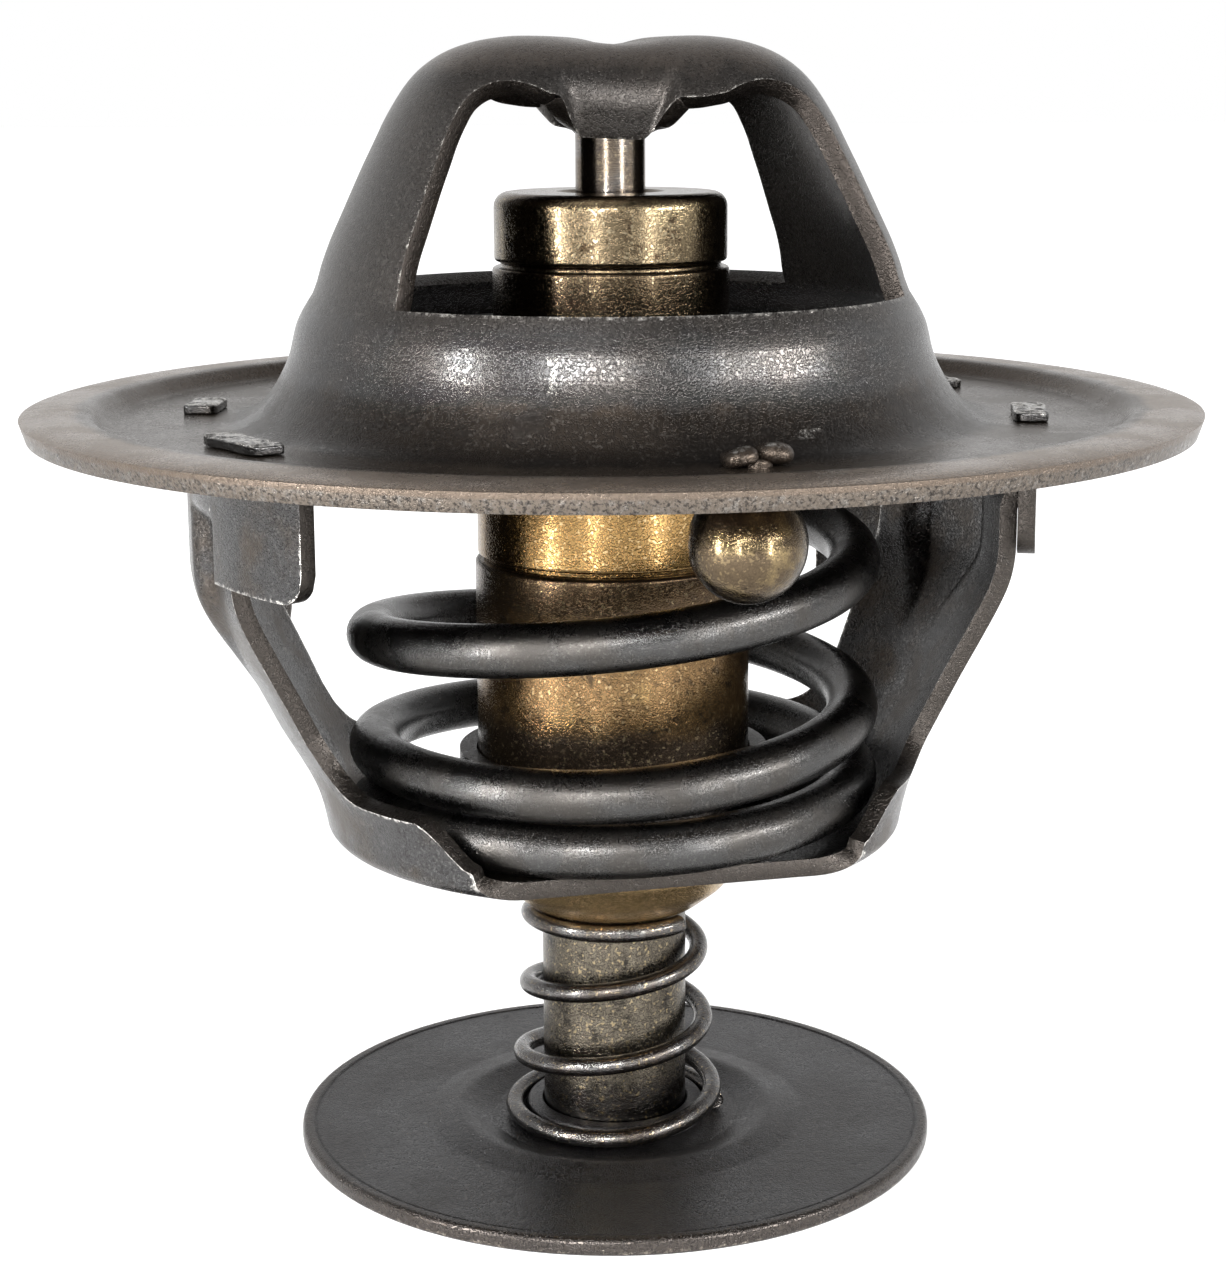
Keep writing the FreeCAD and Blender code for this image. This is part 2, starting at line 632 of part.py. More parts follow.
def cage_shell():
    """The cup with its neck and a full bell of leg wall, before the outline is cut."""
    top = number("band_foot_height") + number("cage_sheet")
    path = [
        section_point(number("cage_leg_radius"), top),
        section_point(number("cage_leg_radius"), number("cage_bend_height")),
        section_point(number("cage_waist_radius"), number("cage_waist_height")),
        section_point(number("cage_cup_radius"), number("cage_floor_height")),
        section_point(neck_bore.number, number("cage_floor_height")),
        section_point(neck_bore.number, number("neck_top_height")),
    ]
    radii = [
        number("cage_bend_fillet"),
        number("cage_bend_fillet"),
        number("cage_cup_fillet"),
        number("neck_fillet"),
    ]
    mirrored = [section_point(-point.x, point.z) for point in path]
    face = sheet_face(mirrored, radii, number("cage_sheet"))
    return face.revolve(AXIS_FOOT, UP, 360)


def leg_outline(front_turn, rear_turn, side):
    """A prism whose outline, seen along the cage's axis, cuts one leg and half the cup."""
    waist = number("cage_waist_radius")
    leg = number("cage_leg_radius")
    wall = number("cup_wall_height")
    top = number("rim_height")
    bottom = number("cage_floor_height") - number("cage_sheet")
    front = math.sin(math.radians(front_turn))
    rear = math.sin(math.radians(rear_turn))
    half_width = number("cup_half_width")
    slope = number("cup_slope_start")
    foot = number("cup_slope_foot")
    bend = number("cage_bend_height")
    outline = [
        (0, bottom),
        (-half_width, bottom),
        (-half_width, foot),
        (-slope, wall),
        (-waist * front, wall),
        (-leg * front, bend),
        (-leg * front, top),
        (leg * rear, top),
        (leg * rear, bend),
        (waist * rear, wall),
        (slope, wall),
        (half_width, foot),
        (half_width, bottom),
        (0, bottom),
    ]
    soft = number("leg_corner_fillet")
    brow = soft / 2
    radii = [0, brow / 2, brow, soft, soft, 0, 0, soft, soft, brow, brow / 2, 0]
    points = [FreeCAD.Vector(across, 0, height) for across, height in outline]
    face = Part.Face(Part.Wire(Part.__sortEdges__(rounded_path(points, radii))))
    face.rotate(AXIS_FOOT, UP, 90)
    reach = 2 * number("flange_radius")
    return face.extrude(FreeCAD.Vector(side * reach, 0, 0))


def pocket_wall(middle):
    """The solid that the stiffening pocket adds outside a leg."""
    leg = number("cage_leg_radius")
    half_sheet = number("cage_sheet") / 2
    depth = number("pocket_depth")
    band = number("band_foot_height")
    bend = number("cage_bend_height") - depth
    foot = number("pocket_foot_height")
    foot_radius = leg_radius_at(foot)
    corners = [
        (leg - half_sheet, band),
        (leg + depth, band),
        (leg + depth, bend),
        (foot_radius + number("pocket_foot_depth"), foot),
        (foot_radius - half_sheet, foot),
        (leg - half_sheet, number("cage_bend_height")),
    ]
    half_turn = number("pocket_half_angle")
    return ring_sector(corners, middle - half_turn, middle + half_turn)


def pocket_hollow(middle):
    """What the stiffening pocket leaves open inside a leg."""
    leg = number("cage_leg_radius")
    thickness = number("cage_sheet")
    depth = number("pocket_depth")
    bend = number("cage_bend_height") - depth
    foot = number("pocket_foot_height") + 1.5 * thickness
    corners = [
        (leg - 3 * thickness, number("rim_height")),
        (leg + depth - thickness, number("rim_height")),
        (leg + depth - thickness, bend + thickness / 2),
        (leg_radius_at(foot) - thickness / 2, foot),
        (leg_radius_at(foot) - 2 * thickness, foot),
        (leg - 3 * thickness, bend),
    ]
    wall_turn = math.degrees(thickness / leg)
    half_turn = number("pocket_half_angle") - wall_turn
    return ring_sector(corners, middle - half_turn, middle + half_turn)


def leg_radius_at(height):
    """The leg's outer radius on its slope."""
    bend = number("cage_bend_height")
    waist = number("cage_waist_height")
    share = (bend - height) / (bend - waist)
    return number("cage_leg_radius") + share * (
        number("cage_waist_radius") - number("cage_leg_radius")
    )


def wing(free_azimuth, leg_azimuth, foot):
    """A plate that hangs from the band beside a leg, with its free lower corner rounded."""
    inner = number("cage_leg_radius")
    outer = inner + number("cage_sheet")
    top = flange_underside.number
    corner = number("wing_corner")
    toward_leg = math.copysign(1, leg_azimuth - free_azimuth)
    centre_azimuth = free_azimuth + toward_leg * math.degrees(corner / outer)
    slit_azimuth = leg_azimuth - toward_leg * math.degrees(number("wing_slit") / outer)
    section = [(inner, foot), (outer, foot), (outer, top), (inner, top)]
    plate = ring_sector(section, min(free_azimuth, slit_azimuth), max(free_azimuth, slit_azimuth))
    square_section = [
        (inner - corner, foot - corner),
        (outer + corner, foot - corner),
        (outer + corner, foot + corner),
        (inner - corner, foot + corner),
    ]
    beyond = free_azimuth - toward_leg
    square = ring_sector(
        square_section, min(beyond, centre_azimuth), max(beyond, centre_azimuth)
    )
    round_end = Part.makeCylinder(
        corner,
        6 * corner,
        polar(inner - 3 * corner, centre_azimuth, foot + corner),
        polar(1, centre_azimuth, 0),
    )
    return plate.cut(square.cut(round_end))


def band(start, end):
    """The band under the flange that carries legs, wings and tabs."""
    inner = number("cage_leg_radius")
    outer = inner + number("cage_sheet")
    foot = number("band_foot_height")
    top = flange_underside.number
    return ring_sector([(inner, foot), (outer, foot), (outer, top), (inner, top)], start, end)


def staked_tab(azimuth):
    """A tab through the flange with its head spread on the channel floor."""
    middle = number("cage_leg_radius") + number("cage_sheet") / 2
    thickness = number("cage_sheet")
    shank = turned_block(
        number("tab_width"),
        thickness,
        flange_underside.number - thickness,
        channel_height.number + number("tab_head_rise"),
        middle,
        azimuth,
    )
    head = turned_block(
        number("tab_head_width"),
        number("tab_head_depth"),
        channel_height.number,
        channel_height.number + number("tab_head_rise"),
        middle,
        azimuth,
    )
    return shank.fuse(head)


def lower_frame():
    """The whole lower pressing."""
    axis = number("cage_azimuth")
    outlines = leg_outline(number("right_leg_front_angle"), number("right_leg_rear_angle"), 1).fuse(
        leg_outline(number("left_leg_front_angle"), number("left_leg_rear_angle"), -1)
    )
    shell = cage_shell()
    shell.rotate(AXIS_FOOT, UP, 90)
    outlines.rotate(AXIS_FOOT, UP, axis)
    shape = shell.common(outlines)
    right_pocket = axis + number("pocket_angle")
    left_pocket = axis + 180 - number("pocket_angle")
    right_edges = (axis - number("right_leg_front_angle"), axis + number("right_leg_rear_angle"))
    left_edges = (axis + 180 - number("left_leg_rear_angle"), axis + 180 + number("left_leg_front_angle"))
    right_free = (axis - number("right_front_wing_angle"), axis + number("right_rear_wing_angle"))
    left_free = (
        axis + 180 - number("left_rear_wing_angle"),
        axis + 180 + number("left_front_wing_angle"),
    )
    front = number("front_wing_height")
    rear = number("rear_wing_height")
    shape = shape.fuse([pocket_wall(right_pocket), pocket_wall(left_pocket)])
    shape = shape.cut([pocket_hollow(right_pocket), pocket_hollow(left_pocket)])
    pieces = [
        band(*right_free),
        band(*left_free),
        wing(right_free[0], right_edges[0], front),
        wing(right_free[1], right_edges[1], rear),
        wing(left_free[0], left_edges[0], rear),
        wing(left_free[1], left_edges[1], front),
    ]
    pieces += [staked_tab(azimuth) for azimuth in tab_azimuths()]
    return shape.fuse(pieces)


# Springs

def ramp(turns, knee, softness=0.04):
    """Zero before the knee and rising by one per turn after it, with a soft start."""
    if turns <= knee - softness:
        return 0.0
    if turns >= knee + softness:
        return turns - knee
    return (turns - knee + softness) ** 2 / (4 * softness)


def coil(first_turn, last_turn, radius_at, height_at, wire):
    """A coil of round wire. Whole turns lie at the viewer's side, azimuth 270.

    The spine is cut into stretches of about a quarter turn, so that the tube has short faces.
    """
    count = int(round((last_turn - first_turn) * number("coil_steps")))
    points = []
    for index in range(count + 1):
        turn = first_turn + (last_turn - first_turn) * index / count
        points.append(polar(radius_at(turn), 270 + 360 * turn, height_at(turn)))
    curve = Part.BSplineCurve()
    curve.interpolate(points)
    stretches = int(round(4 * (last_turn - first_turn)))
    span = curve.LastParameter - curve.FirstParameter
    marks = [curve.FirstParameter + span * index / stretches for index in range(stretches + 1)]
    spine = Part.Wire([curve.toShape(start, end) for start, end in zip(marks, marks[1:])])
    start_tangent = curve.tangent(curve.FirstParameter)[0]
    circle = Part.Wire(Part.Circle(points[0], start_tangent, wire / 2).toShape())
    pipe = Part.BRepOffsetAPI.MakePipeShell(spine)
    pipe.setBiNormalMode(UP)
    pipe.add(circle, False, False)
    pipe.build()
    pipe.makeSolid()
    return pipe.shape()


def main_spring():
    """Return spring between the cage's floor and the valve plate.

    Each end lies flat for a short tail, then the coil beside it climbs to clear the tail's wire.
    """
    wire = number("main_wire")
    foot = cage_floor_top.number
    head = number("plate_height") - number("spring_seat_gap")
    closed_pitch = wire + number("main_end_gap")
    tail = number("main_tail_turns")
    end_slope = closed_pitch / (1 - tail)
    open_rise = head - foot - wire - 2 * closed_pitch
    pitch = number("main_pitch")
    head_pitch = number("main_head_pitch")
    head_turn = 2 + (open_rise - pitch) / head_pitch
    knees = [
        (0, end_slope),
        (1 - tail, -end_slope),
        (1, pitch),
        (2, head_pitch - pitch),
        (head_turn, -head_pitch),
        (head_turn + tail, end_slope),
        (head_turn + 1, -end_slope),
    ]

    def height_at(turn):
        return foot + wire / 2 + sum(slope * ramp(turn, knee) for knee, slope in knees)

    radius = number("main_coil_radius")
    return coil(-tail, head_turn + 1 + tail, lambda turn: radius, height_at, wire)


def bypass_spring():
    """Light conical spring between the disc's seat and the wax cup's underside."""
    wire = number("bypass_wire")
    foot = number("seat_top") + number("spring_seat_gap")
    head = number("bowl_foot_height")
    pitch = number("bypass_pitch")
    open_turns = (head - foot - wire) / pitch
    foot_radius = number("bypass_foot_radius")
    head_radius = number("bypass_head_radius")

    def height_at(turn):
        return foot + wire / 2 + pitch * (ramp(turn, 0) - ramp(turn, open_turns))

    def radius_at(turn):
        share = min(max(1 - turn / open_turns, 0.0), 1.0)
        return head_radius + (foot_radius - head_radius) * share ** 2

    first_turn = -number("bypass_tail_turns")
    last_turn = open_turns + number("bypass_head_tail_turns")
    return coil(first_turn, last_turn, radius_at, height_at, wire)


# Wax element

def build_piston():
    """Fixed piston from the nose's socket down into the boot."""
    radius = size("piston_radius")
    foot = size("piston_foot_height")
    top = nose_underside + size("socket_depth")
    body = turned_body("piston", [(0, foot), (radius, foot), (radius, top), (0, top)])
    return rounded(body, "piston_tip", "soft_edge", [(radius, foot)], "PartDesign::Chamfer")


def build_seal_cap():
    """Brass cap over the guide body's spigot, with a bore for the piston."""
    outer = size("cap_radius")
    inner = outer - size("cap_wall")
    foot = size("cap_foot_height")
    top = size("cap_top_height")
    ceiling = top - size("cap_wall")
    body = turned_body(
        "seal_cap",
        [
            (inner, foot),
            (outer, foot),
            (outer, top),
            (piston_bore, top),
            (piston_bore, ceiling),
            (inner, ceiling),
        ],
    )
    return rounded(body, "seal_cap_shoulder", "cap_shoulder_fillet", [(outer, top)])


def build_piston_seal():
    """Wiper ring between the cap's ceiling and the guide body's spigot."""
    outer = size("cap_radius") - size("cap_wall")
    ceiling = size("cap_top_height") - size("cap_wall")
    return turned_body(
        "piston_seal",
        [(piston_bore, spigot_top), (outer, spigot_top), (outer, ceiling), (piston_bore, ceiling)],
    )


def build_guide_body():
    """Brass sleeve that guides the piston and carries the valve plate."""
    cap_bore = size("cap_radius") - size("cap_wall")
    neck = size("guide_neck_radius")
    skirt = size("guide_radius")
    seam = wax_cup_top
    seam_radius = skirt - size("seam_depth")
    washer_top = spigot_foot + size("boot_washer_height")
    cap_seam = size("cap_foot_height")
    cap_seam_radius = size("cap_radius") - size("seam_depth")
    groove = neck - size("ring_groove")
    return turned_body(
        "guide_body",
        [
            (piston_bore, washer_top),
            (size("boot_radius"), washer_top),
            (size("boot_radius"), spigot_foot),
            (wax_cup_bore, spigot_foot),
            (wax_cup_bore, seam),
            (seam_radius, seam),
            (seam_radius, size("guide_foot_height")),
            (skirt, size("guide_foot_height")),
            (skirt, size("plate_height")),
            (neck, size("plate_height")),
            (neck, plate_top),
            (groove, plate_top),
            (groove, ring_top),
            (neck, ring_top),
            (neck, guide_top),
            (cap_seam_radius, guide_top),
            (cap_seam_radius, cap_seam),
            (cap_bore, cap_seam),
            (cap_bore, spigot_top),
            (piston_bore, spigot_top),
        ],
    )


def build_wax_cup():
    """Brass cup with a narrowing bottom that holds the wax."""
    outer = size("wax_cup_radius")
    shoulder = size("bowl_top_height")
    foot = size("bowl_foot_height")
    foot_radius = size("bowl_foot_radius")
    spigot_radius = size("stem_spigot_radius")
    spigot_end = foot + size("stem_spigot_height")
    body = turned_body(
        "wax_cup",
        [
            (0, spigot_end),
            (spigot_radius, spigot_end),
            (spigot_radius, foot),
            (foot_radius, foot),
            (outer, shoulder),
            (outer, wax_cup_top),
            (wax_cup_bore, wax_cup_top),
            (wax_cup_bore, shoulder),
            (foot_radius - size("wax_cup_wall"), wax_floor_top),
            (0, wax_floor_top),
        ],
    )
    rounded(body, "wax_cup_shoulder", "bowl_top_fillet", [(outer, shoulder)])
    return rounded(body, "wax_cup_foot", "bowl_foot_fillet", [(foot_radius, foot)])


def build_rubber_boot():
    """Squeeze sleeve with a clamped collar and a closed end."""
    outer = size("boot_radius")
    return turned_body(
        "rubber_boot",
        [
            (0, boot_foot),
            (outer, boot_foot),
            (outer, boot_collar_foot),
            (wax_cup_bore, boot_collar_foot),
            (wax_cup_bore, spigot_foot),
            (piston_bore, spigot_foot),
            (piston_bore, boot_bore_foot),
            (0, boot_bore_foot),
        ],
    )


def build_boot_washer():
    """Stiff washer in the guide body, on the boot's collar."""
    top = spigot_foot + size("boot_washer_height")
    outer = size("boot_radius")
    return turned_body(
        "boot_washer",
        [(piston_bore, spigot_foot), (outer, spigot_foot), (outer, top), (piston_bore, top)],
    )


def build_wax_charge():
    """The wax around the boot."""
    return turned_body(
        "wax_charge",
        [
            (0, wax_floor_top),
            (size("bowl_foot_radius") - size("wax_cup_wall"), wax_floor_top),
            (wax_cup_bore, size("bowl_top_height")),
            (wax_cup_bore, boot_collar_foot),
            (size("boot_radius"), boot_collar_foot),
            (size("boot_radius"), boot_foot),
            (0, boot_foot),
        ],
    )


def build_valve_plate():
    """Main valve plate, seated on the guide body's shoulder."""
    bore = size("guide_neck_radius")
    rim = size("plate_radius")
    foot = size("plate_height")
    return turned_body("valve_plate", [(bore, foot), (rim, foot), (rim, plate_top), (bore, plate_top)])


def build_valve_seal():
    """Rubber ring bonded around the valve plate's rim."""
    inner = size("plate_radius")
    outer = inner + size("seal_width")
    foot = size("plate_height")
    top = foot + size("seal_height")
    body = turned_body("valve_seal", [(inner, foot), (outer, foot), (outer, top), (inner, top)])
    return rounded(body, "valve_seal_edge", "soft_edge", [(outer, top)])


def build_plate_ring():
    """Snap ring that locks the valve plate on the guide body."""
    bore = size("guide_neck_radius") - size("ring_groove")
    outer = bore + size("ring_width")
    return turned_body(
        "plate_ring", [(bore, plate_top), (outer, plate_top), (outer, ring_top), (bore, ring_top)]
    )


# Bypass side

def build_bypass_stem():
    """Brass stem with a spigot in the wax cup and a groove for the clip."""
    foot = size("stem_foot_height")
    top = size("bowl_foot_height")
    radius = size("stem_radius")
    spigot = size("stem_spigot_radius")
    spigot_end = top + size("stem_spigot_height")
    body = turned_body(
        "bypass_stem",
        [
            (0, foot),
            (radius, foot),
            (radius, clip_foot),
            (clip_bore, clip_foot),
            (clip_bore, clip_top),
            (radius, clip_top),
            (radius, top),
            (spigot, top),
            (spigot, spigot_end),
            (0, spigot_end),
        ],
    )
    return rounded(body, "stem_foot", "soft_edge", [(radius, foot)], "PartDesign::Chamfer")


def build_bypass_disc():
    """Pressed disc: thick rim, thin web, ring around the spring seat, raised middle."""
    rim = size("disc_radius")
    web = rim - size("disc_rim_width")
    web_top = size("disc_web_top")
    web_foot = size("disc_web_foot")
    crest = size("hump_radius")
    half_ring = size("hump_half_width")
    crest_top = web_top + size("hump_rise")
    seat = size("seat_radius")
    boss = size("boss_radius")
    bore = size("stem_radius") + size("stem_clearance")
    pocket = boss - size("boss_wall")
    return turned_body(
        "bypass_disc",
        [
            (rim, 0),
            (rim, size("disc_rim")),
            (web, size("disc_rim")),
            (web, web_top),
            (crest + half_ring, web_top),
            (crest, crest_top),
            (seat, size("seat_top")),
            (boss, size("seat_top")),
            (boss, size("boss_top")),
            (bore, size("boss_top")),
            (bore, size("boss_foot")),
            (pocket, size("boss_foot")),
            (pocket, size("seat_foot")),
            (seat, size("seat_foot")),
            (crest, web_foot + size("hump_rise")),
            (crest + half_ring, web_foot),
            (web, web_foot),
            (web, 0),
        ],
    )


def build_stem_clip():
    """Retaining clip under the disc, in the stem's groove."""
    outer = clip_bore + size("clip_width")
    return turned_body(
        "stem_clip",
        [(clip_bore, clip_foot), (outer, clip_foot), (outer, clip_top), (clip_bore, clip_top)],
    )


# Air-bleed valve

def bleed_centre_height():
    """Height of the hanging ball's centre."""
    return flange_underside.number - bleed_seat_drop - number("bleed_lift")


def pin_direction():
    """Upward direction of the loose pin, which leans about the radius through its hole."""
    outward = polar(1, number("bleed_azimuth"), 0)
    return FreeCAD.Rotation(outward, -number("bleed_lean_angle")).multVec(UP)


def on_pin(height):
    """The point of the pin's axis that an upright pin would have at that height."""
    middle = flange_underside.number + number("flange_sheet") / 2
    pivot = polar(number("bleed_distance"), number("bleed_azimuth"), middle)
    return pivot + pin_direction() * (height - middle)


def bleed_ball():
    """Ball on the pin, below the flange."""
    radius = number("bleed_ball_radius")
    centre = on_pin(bleed_centre_height())
    ball = Part.makeSphere(radius, centre)
    bore_radius = number("bleed_pin_radius") + number("bleed_fit")
    bore = Part.makeCylinder(bore_radius, 2 * radius, centre, pin_direction())
    return ball.cut(bore)


def bleed_pin():
    """Split pin through the flange's hole: shank and two spread tips above the channel."""
    distance = number("bleed_distance")
    azimuth = number("bleed_azimuth")
    foot = bleed_centre_height()
    rest = channel_height.number + number("bleed_gap")
    tip_radius = number("bleed_tip_radius")
    rise = number("bleed_tip_height")
    offset = number("bleed_tip_offset")
    shank = Part.makeCylinder(
        number("bleed_pin_radius"), rest + rise / 2 - foot, on_pin(foot), pin_direction()
    )
    across = polar(offset, azimuth + 90, 0)
    axis_top = polar(distance, azimuth, rest + rise - tip_radius)
    tips = [Part.makeSphere(tip_radius, axis_top + across * side) for side in (-1, 1)]
    bar = Part.makeCylinder(
        number("bleed_bar_radius"), 2 * offset, axis_top - across, polar(1, azimuth + 90, 0)
    )
    head = tips[0].fuse([tips[1], bar])
    above = Part.makeCylinder(4 * tip_radius, rise, polar(distance, azimuth, rest))
    return shank.fuse(head.common(above))


SHAPE_BUILDERS = {
    "upper_frame": upper_frame,
    "lower_frame": lower_frame,
    "main_spring": main_spring,
    "bypass_spring": bypass_spring,
    "bleed_ball": bleed_ball,
    "bleed_pin": bleed_pin,
}
BODY_BUILDERS = [
    build_piston,
    build_seal_cap,
    build_piston_seal,
    build_guide_body,
    build_wax_cup,
    build_rubber_boot,
    build_boot_washer,
    build_wax_charge,
    build_valve_plate,
    build_valve_seal,
    build_plate_ring,
    build_bypass_stem,
    build_bypass_disc,
    build_stem_clip,
]

nodes = [add_shape(name, builder()) for name, builder in SHAPE_BUILDERS.items()]
nodes += [builder() for builder in BODY_BUILDERS]
doc.recompute()

for item in doc.Objects:
    if {"Invalid", "Error"} & set(item.State):
        raise RuntimeError(f"{item.Name} failed: {item.State}")
for node in nodes:
    if node.Shape.isNull() or not node.Shape.isValid():
        raise RuntimeError(f"{node.Label} has no valid shape")

os.makedirs("parts", exist_ok=True)
for node in nodes:
    node.Shape.exportStep(f"parts/{node.Label}.step")
    box = node.Shape.optimalBoundingBox()
    print(
        f"{node.Label}: solids {len(node.Shape.Solids)}, volume {node.Shape.Volume:.2f},"
        f" z {box.ZMin:.2f} to {box.ZMax:.2f}, x {box.XMin:.2f} to {box.XMax:.2f}"
    )
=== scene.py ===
import logging
import math
from collections.abc import Callable, Sequence
from dataclasses import dataclass, field
from enum import Enum

import bpy
import numpy as np
from mathutils import Matrix, Vector


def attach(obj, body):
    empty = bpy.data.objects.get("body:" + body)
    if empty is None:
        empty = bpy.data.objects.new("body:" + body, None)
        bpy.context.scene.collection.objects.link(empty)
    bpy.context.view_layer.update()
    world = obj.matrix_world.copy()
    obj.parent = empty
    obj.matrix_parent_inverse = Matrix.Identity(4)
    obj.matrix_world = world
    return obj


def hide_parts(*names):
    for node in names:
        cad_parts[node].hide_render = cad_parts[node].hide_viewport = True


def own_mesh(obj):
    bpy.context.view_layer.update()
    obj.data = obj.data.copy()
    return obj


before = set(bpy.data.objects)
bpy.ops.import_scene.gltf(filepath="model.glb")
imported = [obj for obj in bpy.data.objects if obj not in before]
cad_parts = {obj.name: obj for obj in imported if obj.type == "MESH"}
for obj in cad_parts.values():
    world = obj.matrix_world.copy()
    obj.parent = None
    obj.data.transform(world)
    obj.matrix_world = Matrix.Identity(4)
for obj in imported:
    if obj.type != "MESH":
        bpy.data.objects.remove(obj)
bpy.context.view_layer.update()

log = logging.getLogger("coolant_valve")

MM = 0.001
STRETCH_STEPS = 24  # points of a curve between two of its knots
ARC_POINTS = 7  # points of a rounded corner
LONGEST_TANGENT = 0.45  # how much of a side one rounded corner may take
GUARDED_SIDE = 0.5  # a straight side longer than this gets two guard points, in mm
GUARD_GAP = 0.12  # how far from its ends they lie, in mm
LATTICE_SHIFT = 0.37  # keeps round sizes off the borders of the welding lattice
CUT_WEAR = 0.4  # how far worn metal reaches in from a cut edge, in mm
Array = np.ndarray
Colour = tuple[float, float, float]


# Shapes worked out as arrays, in millimetres


@dataclass
class Surface:
    """A mesh as arrays.

    Attributes:
        points: Vertex places in mm, one row each.
        faces: Arrays of vertex numbers, one row a face, with three or four columns.
        marks: Values per vertex that materials read, by name.
    """

    points: Array
    faces: list[Array]
    marks: dict[str, Array] = field(default_factory=dict)

    def moved(self, matrix: Array) -> "Surface":
        """Returns the surface with each point p replaced by matrix times p.

        Args:
            matrix: Three rows and three or four columns; a fourth column is a shift.

        Returns:
            The moved surface, with the same faces and marks.
        """
        points = self.points @ matrix[:, :3].T
        if matrix.shape[1] == 4:
            points = points + matrix[:, 3]
        return Surface(points, self.faces, self.marks)


def smooth(value: Array | float, low: float, high: float) -> Array | float:
    """Smooth step: 3 q^2 - 2 q^3, with q the share of the way from low to high, 0 to 1."""
    share = np.clip((value - low) / (high - low), 0.0, 1.0)
    return share * share * (3 - 2 * share)


def bell(value: Array | float, middle: float, width: float) -> Array | float:
    """Gauss bell: exp(-((value - middle) / width)^2)."""
    return np.exp(-(((value - middle) / width) ** 2))


def corner_lift(distance: Array, radius: float) -> Array:
    """Rise of a quarter circle R at distance d from its end: R - sqrt(R^2 - (R - d)^2)."""
    gap = np.clip(radius - distance, 0, None)
    return radius - np.sqrt(np.clip(radius**2 - gap**2, 0, None))


def turned(azimuth: float) -> Array:
    """The matrix that turns by an azimuth in degrees about +Z."""
    angle = math.radians(azimuth)
    cosine, sine = math.cos(angle), math.sin(angle)
    return np.array([[cosine, -sine, 0.0], [sine, cosine, 0.0], [0.0, 0.0, 1.0]])


def around_axis(radius: Array | float, turn: Array, height: Array | float) -> Array:
    """Points (radius cos turn, radius sin turn, height), turn in radians, coordinates last."""
    parts = np.broadcast_arrays(radius * np.cos(turn), radius * np.sin(turn), height)
    return np.stack(parts, axis=-1)


def curve_through(corners: Sequence[tuple[float, ...]], count: int) -> Array:
    """A Catmull-Rom curve through the given points, evenly spaced along its length.

    Each stretch between two points is the cubic whose end slopes are half the chord between
    the points on either side.

    Args:
        corners: Points of the curve, in order.
        count: How many points to return.

    Returns:
        An array of count rows.
    """
    knots = np.array(corners, dtype=float)
    padded = np.vstack([2 * knots[0] - knots[1], knots, 2 * knots[-1] - knots[-2]])
    share = np.linspace(0, 1, STRETCH_STEPS, endpoint=False)[:, None, None]
    before, start, end, after = (padded[i:len(padded) - 3 + i] for i in range(4))
    cubic = 0.5 * (
        2 * start
        + (end - before) * share
        + (2 * before - 5 * start + 4 * end - after) * share**2
        + (3 * start - before - 3 * end + after) * share**3
    )
    dense = np.vstack([np.swapaxes(cubic, 0, 1).reshape(-1, knots.shape[1]), knots[-1:]])
    return spaced(dense, count)


def spaced(line: Array, count: int) -> Array:
    """Reads a polyline at evenly spaced lengths.

    Args:
        line: Points of the polyline.
        count: How many points to return.

    Returns:
        An array of count rows on the polyline.
    """
    steps = np.linalg.norm(np.diff(line, axis=0), axis=1)
    length = np.concatenate([[0.0], np.cumsum(steps)])
    wanted = np.linspace(0, length[-1], count)
    columns = [np.interp(wanted, length, line[:, i]) for i in range(line.shape[1])]
    return np.stack(columns, axis=1)


def rounded_outline(corners: Sequence[tuple[float, float, float]]) -> Array:
    """A closed outline whose corners are arcs.

    Each corner is a point and a fillet radius. The arc touches both sides at the tangent length,
    radius divided by the tangent of half the corner's angle. Straight sides get two extra points
    close to their ends, so that smooth shading stays flat between them.

    Args:
        corners: (radius from the axis, height, fillet radius) in mm.

    Returns:
        Points of the outline, without the closing one.
    """
    places = np.array([corner[:2] for corner in corners], dtype=float)
    pieces = []
    for index, (_, _, fillet) in enumerate(corners):
        corner = places[index]
        before = places[index - 1] - corner
        after = places[(index + 1) % len(corners)] - corner
        before_length, after_length = np.linalg.norm(before), np.linalg.norm(after)
        before, after = before / before_length, after / after_length
        half = 0.5 * math.acos(float(np.clip(before @ after, -1, 1)))
        tangent = fillet / max(math.tan(half), 1e-6)
        tangent = min(tangent, LONGEST_TANGENT * min(before_length, after_length))
        if fillet <= 0 or abs(half - math.pi / 2) < 1e-3:
            pieces.append(corner[None])
            continue
        radius = tangent * math.tan(half)
        between = (before + after) / np.linalg.norm(before + after)
        centre = corner + between * radius / math.sin(half)
        start, end = corner + before * tangent - centre, corner + after * tangent - centre
        sweep = math.atan2(start[0] * end[1] - start[1] * end[0], float(start @ end))
        turns = np.linspace(0, sweep, ARC_POINTS)
        cosine, sine = np.cos(turns), np.sin(turns)
        arc = [start[0] * cosine - start[1] * sine, start[0] * sine + start[1] * cosine]
        pieces.append(centre + np.stack(arc, axis=1))
    guarded = []
    for piece, following in zip(pieces, pieces[1:] + pieces[:1]):
        gap = following[0] - piece[-1]
        length = np.linalg.norm(gap)
        guarded.append(piece)
        if length > GUARDED_SIDE:
            guard = min(GUARD_GAP, length / 5) / length
            guarded.append(piece[-1] + gap * np.array([[guard], [1 - guard]]))
    return np.vstack(guarded)


